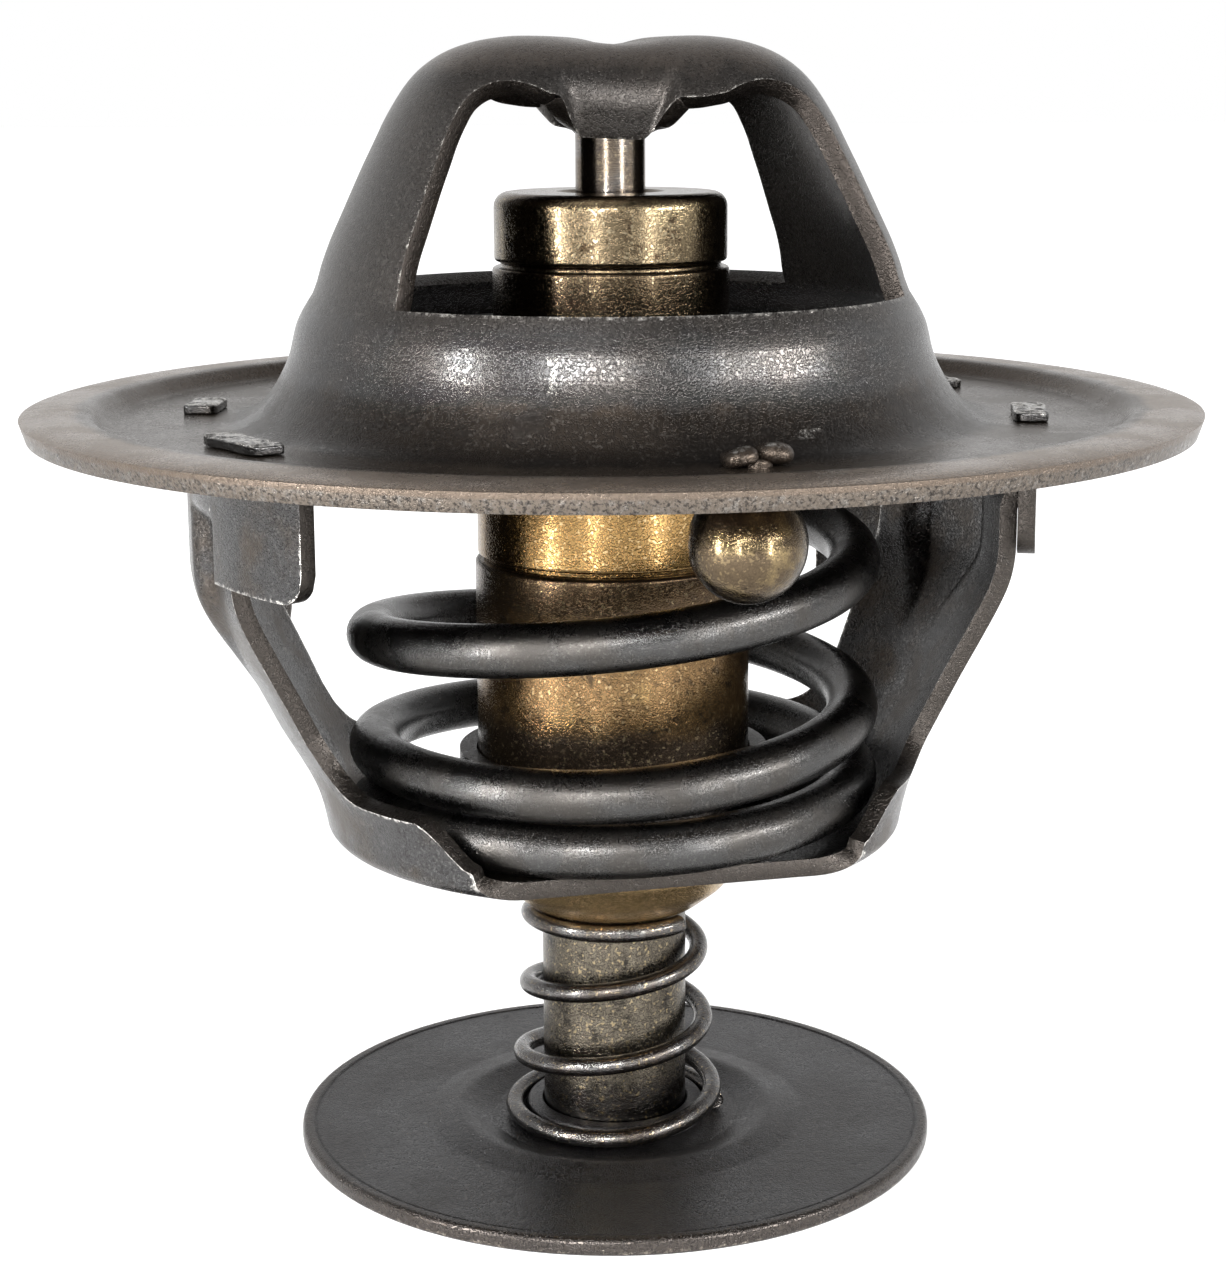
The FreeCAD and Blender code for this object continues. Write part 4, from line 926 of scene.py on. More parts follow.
class Finishes:
    """Every finish of the valve, built once."""

    def __init__(self) -> None:
        """Builds the shared groups and the materials."""
        effects = Effects()
        brown = (0.066, 0.050, 0.037)
        soot = (0.018, 0.016, 0.015)
        self.upper = MetalFinish(
            "drawn_steel", (0.046, 0.045, 0.045), brown, soot, rough=(0.21, 0.32),
            stain_share=0.20, wear=0.36, pattern=Pattern.DRAWN, crevice=0.45, metallic=0.85,
            tints=(
                # Painted shade: nearly black from 18.4 mm out; the tints below cover most of it, so
                # it darkens the collar's concave foot above the channel.
                Tint((0.017, 0.013, 0.010), 0.0184, 0.0192, 0.85, radial=True),
                Tint((0.085, 0.066, 0.051), 0.0212, 0.0226, 0.80, radial=True),
                # Brown rim patina from 30.0 mm out, made bright as painted light where the rounded
                # rim catches the light.
                Tint((0.260, 0.203, 0.157), 0.0300, 0.0308, 0.80, radial=True),
                Tint((0.056, 0.055, 0.055), 0.0459, 0.0468, 0.70, rough=0.21),
                Tint((0.046, 0.040, 0.035), 0.0494, 0.0505, 0.65, rough=0.32),
                # Brown patina on the bridge's top from 62.6 mm up, made lighter as painted light
                # where the top faces the light above.
                Tint((0.150, 0.124, 0.104), 0.0626, 0.0640, 0.72, rough=0.30),
            ),
            scuffs=(
                Scuff(-0.00296, 0.04783, 0.00030, 0.00100),
                Scuff(0.01010, 0.04470, 0.00070, 0.00025),
            ),
        ).build(effects)
        self.edge = MetalFinish(
            "worn_edge", (0.160, 0.147, 0.133), (0.120, 0.100, 0.082), (0.030, 0.026, 0.023),
            bright=(0.56, 0.53, 0.48), rough=(0.22, 0.34), cloud_share=0.46, stain_share=0.38,
            cloud_scale=2200.0, stain_scale=5200.0, speckle=0.0, crevice=0.25, metallic=0.93,
            tints=(
                Tint((0.034, 0.030, 0.027), 0.0428, 0.0426, 0.90),
                Tint((0.120, 0.093, 0.072), 0.04385, 0.0440, 0.85),
                Tint((0.022, 0.019, 0.017), 0.0446, 0.0449, 0.94),
            ),
        ).build(effects)
        self.cage = MetalFinish(
            "cage_steel", (0.066, 0.065, 0.065), (0.070, 0.056, 0.044), soot,
            bright=(0.55, 0.53, 0.50), rough=(0.22, 0.34), cloud_share=0.32, wear=0.42,
        ).build(effects)
        self.coil = MetalFinish(
            "coil_steel", (0.064, 0.063, 0.062), (0.054, 0.050, 0.046), (0.020, 0.019, 0.018),
            rough=(0.22, 0.32), stain_share=0.12, grain_scale=6000.0, speckle=0.06,
            crevice=0.28, relief=0.000014, cloud_scale=260.0,
        ).build(effects)
        self.small_coil = MetalFinish(
            "small_coil_steel", (0.120, 0.116, 0.114), (0.070, 0.060, 0.052),
            (0.024, 0.022, 0.021), bright=(0.56, 0.44, 0.26), rough=(0.13, 0.23), speckle=0.30,
            crevice=0.30, cloud_scale=420.0, relief=0.00002,
        ).build(effects)
        self.brass = MetalFinish(
            "turned_brass", (0.300, 0.238, 0.138), (0.118, 0.091, 0.055), (0.036, 0.024, 0.014),
            bright=(0.72, 0.62, 0.42), rough=(0.09, 0.19), cloud_share=0.50, stain_share=0.33,
            stain_scale=1500.0, pattern=Pattern.DRAWN, relief=0.000016, speckle=0.20,
            crevice=0.40,
            tints=(
                Tint((0.085, 0.056, 0.028), 0.0559, 0.0562, 0.70),
                Tint((0.042, 0.029, 0.019), 0.0527, 0.0521, 0.60),
                Tint((0.225, 0.138, 0.050), 0.0462, 0.0440, 0.85),
            ),
        ).build(effects)
        self.cup_brass = MetalFinish(
            "stained_brass_with_painted_light", (0.330, 0.225, 0.090), (0.140, 0.086, 0.038),
            (0.036, 0.024, 0.014), bright=(0.72, 0.58, 0.34), rough=(0.11, 0.22),
            cloud_share=0.50, stain_share=0.34, stain_scale=1300.0, pattern=Pattern.DRAWN,
            relief=0.000016, speckle=0.20, crevice=0.42, metallic=0.92,
            tints=(
                Tint((0.050, 0.034, 0.021), 0.0322, 0.0334, 0.82),
                # Painted shade: nearly black from 27.2 mm down, where the cup stands deep in the
                # cage among the spring's closed coils.
                Tint((0.024, 0.019, 0.016), 0.0272, 0.0256, 0.86, rough=0.26),
                # Painted reflected light: the bowl below 21.4 mm is bright orange brass, standing
                # for the light its underside mirrors.
                Tint((0.580, 0.400, 0.190), 0.0214, 0.0184, 0.80, rough=0.22),
            ),
        ).build(effects)
        self.stem = MetalFinish(
            "dull_brass", (0.190, 0.166, 0.128), (0.096, 0.083, 0.064), (0.022, 0.020, 0.018),
            bright=(0.56, 0.43, 0.22), rough=(0.17, 0.28), cloud_share=0.46, stain_share=0.34,
            speckle=0.34, pattern=Pattern.DRAWN, relief=0.00002,
            # Painted shade: nearly black from 4.6 mm down, where the stem's foot stands inside the
            # light spring's bottom coils.
            tints=(Tint((0.036, 0.033, 0.032), 0.0046, 0.0030, 0.85, rough=0.20),),
        ).build(effects)
        self.pin = MetalFinish(
            "polished_pin", (0.215, 0.208, 0.206), (0.140, 0.112, 0.084), (0.045, 0.042, 0.047),
            bright=(0.66, 0.56, 0.38), rough=(0.10, 0.18), cloud_share=0.42, cloud_scale=320.0,
            speckle=0.20, crevice=0.15, pattern=Pattern.RINGS, relief=0.000010,
        ).build(effects)
        self.disc = MetalFinish(
            "charcoal_steel", (0.058, 0.057, 0.059), (0.060, 0.057, 0.057),
            (0.019, 0.018, 0.018), bright=(0.34, 0.30, 0.25), rough=(0.28, 0.38),
            cloud_share=0.38, cloud_scale=120.0, wear=0.30, relief=0.00005,
            tints=(Tint((0.075, 0.062, 0.052), 0.0182, 0.0186, 0.60, radial=True, rough=0.26),),
        ).build(effects)
        self.ball = MetalFinish(
            "ball_brass", (0.230, 0.172, 0.088), (0.085, 0.063, 0.040), (0.022, 0.017, 0.013),
            bright=(0.66, 0.50, 0.26), rough=(0.07, 0.15), cloud_share=0.45, stain_share=0.27,
            cloud_scale=520.0, stain_scale=1700.0, crevice=0.30, relief=0.000012,
        ).build(effects)
        self.rubber = PlainFinish(
            "black_rubber", (0.020, 0.020, 0.020), (0.030, 0.028, 0.026)
        ).build(effects)
        self.wax = PlainFinish(
            "copper_wax", (0.32, 0.20, 0.09), (0.24, 0.16, 0.08), 0.5
        ).build(effects)


# Sub-assemblies


@dataclass
class UpperFrame:
    """Flange, bell-shaped collar and bridge, one drawn sheet, with the nose core in it.

    Heights are above the rim of the flange. Sizes are in mm and degrees.

    Attributes:
        rim_height: The rim's height above the standing plane.
        azimuth: Direction of the bridge.
        leg_half_turn: Half the turn that a leg takes at the lip.
        cross_half_width: Half the strap's width at the crown, and cross_arch its bend's radius.
        arch_growth: How the bend opens towards the lip.
        flare: Added length of each half section where the strap meets the lip.
        waver: Height, waves a turn and phase of the channel floor's waves.
        channel: Middle and half width of the channel that wavers.
        rim_wear: Strength of the rim's wear and the radii between which it grows.
        crest_wear_and_highlight: Strength, radius and half width of the bright marks on the
            channel's outer crest, partly wear and partly a painted highlight.
        dent: Depth and half width of the dent over the piston.
        ring: Outline of flange and collar as (radius, height).
        nose_profile: Half a section of the nose as (distance aside, drop).
        climb: The bridge's centre line as (distance from the axis, height).
    """

    rim_height: float = 44.5
    sheet: float = 1.1
    azimuth: float = 15.5
    lip_radius: float = 17.0
    lip_rise: float = 6.2
    leg_half_turn: float = 32.4
    cross_half_width: float = 5.5
    cross_arch: float = 7.4
    crown_rise: float = 20.40
    arch_growth: float = 0.6
    flare: float = 1.3
    nose_half_width: float = 2.45
    nose_turn: float = 1.1
    nose_foot: float = 15.1
    core_half_width: float = 1.9
    core_depth: float = 3.4
    leg_columns: int = 45
    window_columns: int = 81
    ring_rows: int = 128
    bridge_rows: int = 221
    line_points: int = 1601
    waver: tuple[tuple[float, float, float], ...] = ((0.035, 3, 0.6), (0.02, 7, 0.0))
    channel: tuple[float, float] = (26.0, 3.0)
    rim_wear: tuple[float, float, float] = (0.35, 33.2, 33.5)
    crest_wear_and_highlight: tuple[float, float, float] = (0.55, 29.9, 0.5)
    dent: tuple[float, float] = (0.32, 1.25)
    ring: tuple[tuple[float, float], ...] = (
        (33.5, -0.26), (33.2, -0.17), (32.8, -0.09), (32.3, -0.035), (31.7, -0.005), (31.0, 0.0),
        (30.4, 0.0), (29.95, -0.02),
        (29.6, -0.12), (29.25, -0.42), (28.95, -0.74), (28.6, -0.9), (28.0, -0.93), (25.0, -0.92),
        (22.6, -0.92),
        (21.5, -0.78), (20.6, -0.38), (19.9, 0.22), (19.35, 0.92), (18.95, 1.6), (18.6, 2.3),
        (18.34, 3.0), (18.15, 3.8), (17.96, 4.5), (17.66, 5.15), (17.3, 5.74), (17.0, 6.2),
    )
    nose_profile: tuple[tuple[float, float], ...] = (
        (0.0, 0.0), (2.4, 0.40), (4.1, 1.25), (5.05, 2.25), (5.30, 3.3), (4.95, 4.4), (4.55, 5.45),
    )
    climb: tuple[tuple[float, float], ...] = (
        (17.0, 6.2), (16.72, 6.9), (16.42, 7.9), (15.9, 9.25), (15.3, 10.55), (14.68, 11.9),
        (14.05, 13.25), (13.4, 14.55), (12.72, 15.9), (12.0, 17.1), (11.35, 18.0), (10.6, 18.75),
        (9.6, 19.42), (8.5, 19.88), (7.2, 20.2), (5.6, 20.38), (4.0, 20.38), (2.6, 20.32),
        (1.3, 20.24), (0.0, 20.2),
    )

    def lip_turns(self) -> tuple[Array, Array]:
        """Azimuths of a leg's columns and of a window's columns, about the bridge's axis.

        Returns:
            Two arrays in degrees, the leg's about 0 and the window's from its right leg on.
        """
        half = self.leg_half_turn
        leg = np.linspace(-half, half, self.leg_columns)
        window = np.linspace(half, 180 - half, self.window_columns)
        return leg, window

    def ring_surface(self) -> Surface:
        """Flange and collar: the ring profile turned about Z.

        At azimuth a the point is (r cos a, r sin a, z) for each (r, z) of the profile. The
        channel floor wavers by a few hundredths of a millimetre, as drawn sheet does.

        Returns:
            The outer side, with its edge mark 1 at the outer rim and at the lip.
        """
        leg, window = self.lip_turns()
        turn = np.concatenate([leg[:-1], window[:-1], leg[:-1] + 180, window[:-1] + 180])
        turn = np.radians(turn)[None, :]
        profile = curve_through(self.ring, self.ring_rows)
        radius, rise = profile[:, 0][:, None], profile[:, 1][:, None]
        waver = sum(high * np.sin(waves * turn + phase) for high, waves, phase in self.waver)
        rise = rise + waver * bell(radius, *self.channel)
        surface = grid(around_axis(radius, turn, self.rim_height + rise), around=True)
        off_bridge = np.abs(np.degrees(np.arcsin(np.sin(turn))))
        free_lip = smooth(off_bridge, self.leg_half_turn - 0.5, self.leg_half_turn + 2.0)
        rim = self.rim_wear[0] * smooth(radius, *self.rim_wear[1:])
        # The crest's bright marks are partly wear and partly a painted highlight along the crest.
        crest = self.crest_wear_and_highlight[0] * bell(radius, *self.crest_wear_and_highlight[1:])
        lip = smooth(rise, self.lip_rise - 0.45, self.lip_rise) * free_lip
        surface.marks["edge"] = np.maximum(np.maximum(rim, crest), lip).ravel()
        return surface

    def bridge_surface(self) -> Surface:
        """The strap from lip to lip over the axis.

        A centre line climbs from the lip, turns in at the corner and dips at the axis. Each
        section starts as the lip's own circle, turned about Z, and becomes an arch square to the
        centre line. Across an arch of radius R the point at length s lies R sin(s / R) aside and
        R - R cos(s / R) below. In the middle the sections blend into the nose's profile, and the
        place of that blend shifts with the distance across, which turns the nose a little.

        Returns:
            The outer side, with its edge mark 1 along both cut edges.
        """
        right = np.array(self.climb)
        line = np.vstack([right, right[-2::-1] * np.array([-1.0, 1.0])])
        dense = curve_through([tuple(point) for point in line], self.line_points)
        weight = 1 + 3.2 * smooth(6.4 - np.abs(dense[:, 0]), 0.0, 1.2)
        share = np.concatenate([[0.0], np.cumsum(weight[1:])])
        order = np.arange(len(dense))
        rows = np.interp(np.linspace(0, share[-1], self.bridge_rows), share, order)
        centre = np.stack([np.interp(rows, order, column) for column in dense.T], axis=1)
        slope = np.gradient(centre, axis=0)
        slope /= np.linalg.norm(slope, axis=1)[:, None]
        rise = centre[:, 1]
        reach = np.abs(centre[:, 0])
        side = np.sign(centre[:, 0] + 1e-9)
        lean = np.arctan2(np.abs(slope[:, 0]), np.abs(slope[:, 1]))
        tilt = lean * smooth(rise, 7.5, 18.0)
        fall = np.clip((self.crown_rise - rise) / (self.crown_rise - self.lip_rise), 0, 1)
        arch = self.cross_arch + (self.lip_radius - self.cross_arch) * fall**self.arch_growth
        lip_half = self.lip_radius * math.sin(math.radians(self.leg_half_turn))
        half_width = self.cross_half_width + (lip_half - self.cross_half_width) * fall
        length = arch * np.arcsin(np.clip(half_width / arch, 0, 0.98))
        length = length + self.flare * (1 - smooth(reach, 2.9, 8.4))
        count = (self.leg_columns + 1) // 2
        across = np.linspace(0, 1, count)[None, :]
        bend = arch[:, None]
        angle = across * length[:, None] / bend
        plain = np.stack([bend * np.sin(angle), bend * (1 - np.cos(angle))], axis=-1)
        nose = spaced(curve_through(self.nose_profile, 200), count)[None, :, :]
        normal = np.stack([side * np.cos(tilt), np.sin(tilt)], axis=1)
        halves = []
        for sign in (-1.0, 1.0):
            middle = sign * self.nose_turn * across
            away = np.abs(centre[:, 0][:, None] - middle)
            in_nose = 1 - smooth(away, self.nose_half_width - 0.5, self.nose_half_width + 1.15)
            section = plain + in_nose[..., None] * (nose - plain)
            halves.append(self.placed(centre, normal, sign * section[..., 0], section[..., 1]))
        points = np.hstack([halves[0][:, :0:-1], halves[1]])
        depth, width = self.dent
        points[..., 2] -= depth * bell(np.hypot(points[..., 0], points[..., 1]), 0.0, width)
        turn = np.radians(self.lip_turns()[0])
        lip = around_axis(self.lip_radius, turn, self.rim_height + self.lip_rise)
        points[0], points[-1] = lip, lip * np.array([-1.0, 1.0, 1.0])
        surface = grid(points)
        cut = np.abs(np.linspace(-1, 1, self.leg_columns))[None, :] * length[:, None]
        surface.marks["edge"] = smooth(cut - length[:, None], -CUT_WEAR, 0.0).ravel()
        return surface

    def placed(self, centre: Array, normal: Array, out: Array, drop: Array) -> Array:
        """Places section points in space.

        Args:
            centre: Centre line as (distance along the bridge, rise).
            normal: The section's outward direction, in the same two coordinates.
            out: Distance across the strap for each row and column.
            drop: Distance below the centre line along the inward direction.

        Returns:
            Points as rows, columns and three coordinates, along the bridge's own axis.
        """
        along = centre[:, 0][:, None] - normal[:, 0][:, None] * drop
        rise = centre[:, 1][:, None] - normal[:, 1][:, None] * drop
        return np.stack([along, out, self.rim_height + rise], axis=-1)

    def core(self) -> Surface:
        """The block between the nose's two flaps, which grips the piston."""
        foot = self.nose_foot
        half_height = (self.crown_rise - self.sheet - foot) / 2
        block = superblock((self.core_half_width, self.core_depth, half_height), 0.4)
        shift = np.array([[0.0], [0.0], [self.rim_height + foot + half_height]])
        return block.moved(np.hstack([turned(self.azimuth), shift]))

    def build(self, finishes: Finishes) -> None:
        """Builds and dresses the pressing.

        Args:
            finishes: The valve's finishes.
        """
        shell = welded([self.ring_surface(), self.bridge_surface()], tolerance=0.01)
        shell = shell.moved(turned(self.azimuth))
        piece = make_piece("upper_pressing", shell, finishes.upper, finishes.edge)
        thicken(piece, self.sheet, 0.28)
        place(piece, "frame", "dark_steel", "upper_frame")
        core = make_piece("nose_core", self.core(), finishes.upper)
        place(core, "frame", "dark_steel")


@dataclass(frozen=True)
class Flank:
    """One flank of a leg, in degrees from the middle of its side.

    Attributes:
        edge: The leg's edge, negative towards lower azimuths.
        wing: The free edge of the wing beyond it.
        wing_foot: That wing's lower edge above the standing plane, in mm.
    """

    edge: float
    wing: float
    wing_foot: float


@dataclass(frozen=True)
class LegPlan:
    """One side of the cage: its direction, its two flanks and its pocket's middle."""

    azimuth: float
    low: Flank
    high: Flank
    pocket: float


@dataclass
class LowerFrame:
    """The spring cage: cup with drawn neck, two legs, wings and four staked tabs.

    Heights are above the standing plane. Sizes are in mm and degrees.

    Attributes:
        chord: Distance of a side's free cut from the plane between the two sides.
        wall_top: The cup wall's height beside a leg.
        brow: Radius of the curve from the wall's top into the leg.
        slope_start: Distance aside where the wall's top starts to fall.
        fall_rest: Height of the wall left where that fall ends.
        slit: Width of the slit between a leg and its wing.
        tab_turn: Turn of the staked tabs from a side's middle.
        jog: Height over which the leg steps out to the band.
        pocket_half: Half the stiffening pocket's turn at its foot, and what it gains upwards.
        pocket_widens: Heights between which it gains that.
        pocket_border: Degrees over which the pocket's sides rise, outside and inside them.
        pocket_grows: Heights between which the pocket rises.
        swell: Share of the pocket's depth and half turn of the swelling below it.
        swell_grows: Heights between which the swelling rises.
        head: Half depth and half height of a staked head.
        floor: Outline of neck and floor as (radius, height).
        wall: Outline of wall and leg as (radius, height).
    """

    azimuth: float = 14.5
    sheet: float = 1.0
    chord: float = 12.9
    wall_start: float = 20.1
    wall_top: float = 23.1
    brow: float = 3.0
    slope_start: float = 10.6
    fall_rest: float = 0.45
    band_foot: float = 39.9
    band_top: float = 42.5
    band_radius: float = 24.4
    slit: float = 0.4
    wing_corner: float = 1.6
    jog: float = 1.7
    pocket_half: tuple[float, float] = (6.0, 5.5)
    pocket_widens: tuple[float, float] = (29.6, 35.2)
    pocket_border: tuple[float, float] = (-1.6, 2.2)
    pocket_grows: tuple[float, float] = (24.0, 34.6)
    swell: tuple[float, float] = (0.45, 11.0)
    swell_grows: tuple[float, float] = (20.5, 24.0)
    side_columns: int = 22
    leg_columns: int = 49
    wing_columns: int = 40
    floor_rows: int = 64
    wall_rows: int = 19
    leg_rows: int = 60
    wing_rows: int = 30
    band_rows: int = 8
    tab_turn: float = 20.0
    tab_radius: float = 23.9
    channel_height: float = 43.6
    head: tuple[float, float] = (0.95, 0.30)
    head_half_lengths: tuple[float, float, float, float] = (2.5, 2.6, 1.9, 3.1)
    head_shifts: tuple[float, float, float, float] = (0.0, 0.0, 0.0, 1.2)
    floor: tuple[tuple[float, float], ...] = (
        (8.1, 23.9), (8.1, 22.6), (8.1, 21.2), (8.35, 20.1), (9.0, 19.2), (9.9, 18.92),
        (11.2, 18.9), (12.9, 18.9), (14.6, 18.9), (15.7, 18.92), (16.45, 19.2), (16.9, 19.7),
        (17.0, 20.1),
    )
    wall: tuple[tuple[float, float], ...] = (
        (17.0, 20.1), (17.25, 21.3), (17.6, 22.6), (18.15, 24.0), (19.25, 26.1), (20.45, 28.5),
        (21.6, 30.7), (22.55, 32.6), (23.1, 34.0), (23.36, 35.4), (23.4, 37.0), (23.4, 38.5),
        (23.4, 39.9),
    )

    def sides(self) -> tuple[LegPlan, LegPlan]:
        """The right and the left side of the cage."""
        right = (Flank(-19.5, -26.5, 35.9), Flank(25.5, 40.5, 28.4))
        left = (Flank(-30.0, -44.5, 28.4), Flank(12.5, 34.5, 35.9))
        return LegPlan(self.azimuth, *right, 7.5), LegPlan(self.azimuth + 180, *left, -7.5)

    def reach(self, radius: Array | float) -> Array:
        """Degrees from a side's middle to its free cut, at a radius: arcsin(chord / radius)."""
        return np.degrees(np.arcsin(np.clip(self.chord / radius, 0, 1)))

    def wall_radius(self, height: Array) -> Array:
        """The leg's plain outer radius at a height, read from the wall's curve."""
        line = curve_through(self.wall, 200)
        return np.interp(height, line[:, 1], line[:, 0])

    def bulged(self, plan: LegPlan, turn: Array, height: Array) -> Array:
        """The outer radius with the stiffening pocket and the jog to the band.

        The pocket adds 1 mm over a plateau that narrows downwards, and the jog adds 1 mm just
        below the band.

        Args:
            plan: The side.
            turn: Degrees from the side's middle.
            height: Height above the standing plane.

        Returns:
            Radius in mm.
        """
        share = smooth(height, *self.pocket_widens)
        half = self.pocket_half[0] + self.pocket_half[1] * share
        pocket = smooth(half - np.abs(turn - plan.pocket), *self.pocket_border)
        pocket = pocket * smooth(height, *self.pocket_grows)
        lower = self.swell[0] * bell(turn, plan.pocket, self.swell[1])
        lower = lower * smooth(height, *self.swell_grows)
        jog = smooth(height, self.band_foot - self.jog, self.band_foot)
        step = self.band_radius - self.wall[-1][0]
        rise = step * np.maximum(np.maximum(pocket, lower * (1 - share)), jog)
        return self.wall_radius(height) + rise

    def at(
        self, radius: Array | float, turn: Array, height: Array, near: Array | float
    ) -> Surface:
        """A grid surface from radius, turn and height arrays, with an edge mark.

        Args:
            radius: Radii in mm.
            turn: Degrees from the side's middle.
            height: Heights in mm.
            near: The edge mark.

        Returns:
            The surface: a point is (r cos t, r sin t, z).
        """
        points = around_axis(radius, np.radians(turn), height)
        surface = grid(points)
        surface.marks["edge"] = np.broadcast_to(near, points.shape[:2]).ravel()
        return surface

    def floor_block(self, shares: Array) -> Surface:
        """Neck and floor of one side, out to the foot of its wall.

        Inside the chord's distance a row spans half a turn. Outside it a row spans twice the
        angle whose sine is the chord's distance divided by the row's radius.

        Args:
            shares: Columns from -1 to 1.

        Returns:
            The block.
        """
        line = curve_through(self.floor, self.floor_rows)
        radius, height = line[:, 0][:, None], line[:, 1][:, None]
        near = smooth(np.abs(shares)[None, :], 0.9, 1.0) * smooth(radius, 12.5, 13.2)
        return self.at(radius, self.reach(radius) * shares[None, :], height, near)

    def shares(self, plan: LegPlan) -> tuple[Array, Array, Array]:
        """Columns of the low side wall, the leg and the high side wall, from -1 to 1."""
        reach = float(self.reach(self.wall[0][0]))
        low, high = plan.low.edge / reach, plan.high.edge / reach
        return (
            np.linspace(-1, low, self.side_columns),
            np.linspace(low, high, self.leg_columns),
            np.linspace(high, 1, self.side_columns),
        )

    def side_wall(self, edge: float) -> Surface:
        """The cup's wall beside a leg.

        A column ends at the wall's top plus the brow's rise, and past the slope's start it falls
        to the floor's corner.

        Args:
            edge: The leg's edge where it starts.

        Returns:
            The block.
        """
        sign = 1 if edge > 0 else -1
        share = np.linspace(0, 1, self.side_columns)[None, :]
        leg_side = self.wall[0][0] * math.sin(math.radians(abs(edge)))
        lateral = leg_side + share * (self.chord - leg_side)
        drop = self.wall_top - self.wall_start - self.fall_rest
        fall = drop * smooth(lateral, self.slope_start, self.chord)
        top = self.wall_top + corner_lift(lateral - leg_side, self.brow) - fall
        level = np.linspace(0, 1, self.wall_rows)[:, None]
        height = self.wall_start + level * (top - self.wall_start)
        radius = self.wall_radius(height)
        turn = edge + sign * share * (self.reach(radius) - abs(edge))
        near = np.maximum(smooth(height - top, -CUT_WEAR, 0.0), smooth(share, 0.94, 1.0))
        return self.at(*(part[:, ::sign] for part in (radius, turn, height, near)))

    def leg(self, plan: LegPlan, shares: Array) -> Surface:
        """One leg from the cup's wall up to the band.

        Args:
            plan: The side.
            shares: The leg's columns as shares of the wall's reach.

        Returns:
            The block.
        """
        brow_top = self.wall_top + self.brow
        low = np.linspace(0, 1, self.wall_rows) * (brow_top - self.wall_start) + self.wall_start
        high = np.linspace(brow_top, self.band_foot, self.leg_rows)[1:]
        height = np.concatenate([low, high])[:, None]
        turn = np.linspace(plan.low.edge, plan.high.edge, len(shares))[None, :]
        radius = self.bulged(plan, turn, height)
        edge_gap = np.minimum(turn - plan.low.edge, plan.high.edge - turn)
        plain = self.wall_radius(height)
        settle = np.where(height < self.band_foot - self.jog, smooth(edge_gap, 0.0, 4.0), 1.0)
        radius = plain + (radius - plain) * settle * smooth(height, self.wall_start, brow_top)
        near = smooth(-edge_gap, -1.0, 0.0) * smooth(height, self.wall_top, self.wall_top + 2)
        return self.at(radius, turn, height, near)

    def band(self, turns: Array) -> Surface:
        """The band under the flange, over wings and leg."""
        height = np.linspace(self.band_foot, self.band_top, self.band_rows)[:, None]
        return self.at(self.band_radius, turns[None, :], height, 0.0)

    def wing(self, flank: Flank, turns: Array) -> Surface:
        """A plate that hangs from the band beside a leg.

        Its free lower corner is a quarter circle, and a slit opens beside the leg.

        Args:
            flank: The leg's flank on that side.
            turns: The band's columns over the wing, in degrees.

        Returns:
            The block.
        """
        lateral = np.radians(np.abs(turns - flank.wing)) * self.band_radius
        bottom = (flank.wing_foot + corner_lift(lateral, self.wing_corner))[None, :]
        level = np.linspace(0, 1, self.wing_rows)[:, None]
        height = bottom + level * (self.band_foot - bottom)
        slit = math.degrees(self.slit / self.band_radius)
        slit = slit * smooth(self.band_foot - height, 0.0, 0.9)
        toward = math.copysign(1.0, flank.edge)
        pull = np.clip(1 - np.abs(turns - flank.edge) / 3.0, 0, 1)[None, :]
        turn = turns[None, :] + toward * slit * pull
        near = smooth(-np.minimum(lateral[None, :], height - bottom), -CUT_WEAR, 0.0)
        return self.at(self.band_radius, turn, height, near)

    def side(self, plan: LegPlan) -> Surface:
        """One side of the cage as a welded sheet surface.

        Args:
            plan: The side.

        Returns:
            The outer side, turned to its place.
        """
        low, leg, high = self.shares(plan)
        columns = np.concatenate([low[:-1], leg, high[1:]])
        leg_turns = np.linspace(plan.low.edge, plan.high.edge, len(leg))
        low_wing = np.linspace(plan.low.wing, plan.low.edge, self.wing_columns)
        high_wing = np.linspace(plan.high.edge, plan.high.wing, self.wing_columns)
        turns = np.concatenate([low_wing[:-1], leg_turns, high_wing[1:]])
        blocks = [
            self.floor_block(columns),
            self.side_wall(plan.low.edge),
            self.side_wall(plan.high.edge),
            self.leg(plan, leg),
            self.band(turns),
            self.wing(plan.low, low_wing),
            self.wing(plan.high, high_wing),
        ]
        return welded(blocks, tolerance=0.01).moved(turned(plan.azimuth))

    def staked_head(self, azimuth: float, half_length: float, phase: float) -> Surface:
        """A tab's spread end on the channel floor: a soft block with a plain ridged top.

        The top rises and falls by a sine along its length, crossed by a slower one.

        Args:
            azimuth: Its direction.
            half_length: Half its length across the radius.
            phase: Shift of its ridges, so that no two heads are equal.

        Returns:
            The block in its place.
        """
        half_depth, half_rise = self.head
        block = superblock((half_depth, half_length, half_rise), power=0.28, steps=34)
        points = block.points.copy()
        upper = smooth(points[:, 2], 0.1, 0.28)
        inside = 1 - smooth(np.abs(points[:, 1]), half_length - 0.5, half_length - 0.1)
        x, y, _ = points.T
        ridges = 0.055 * np.sin(6.2 * y + phase) + 0.03 * np.sin(4 * x + 2.6 * y)
        points[:, 2] += upper * inside * ridges
        points[:, 0] += 0.05 * np.sin(1.9 * points[:, 1] + phase)
        block = Surface(points, block.faces, {"edge": smooth(points[:, 2], 0.0, 0.3)})
        shift = np.array([[self.tab_radius], [0.0], [self.channel_height + half_rise - 0.05]])
        lifted = block.moved(np.hstack([np.eye(3), shift]))
        return lifted.moved(turned(azimuth))

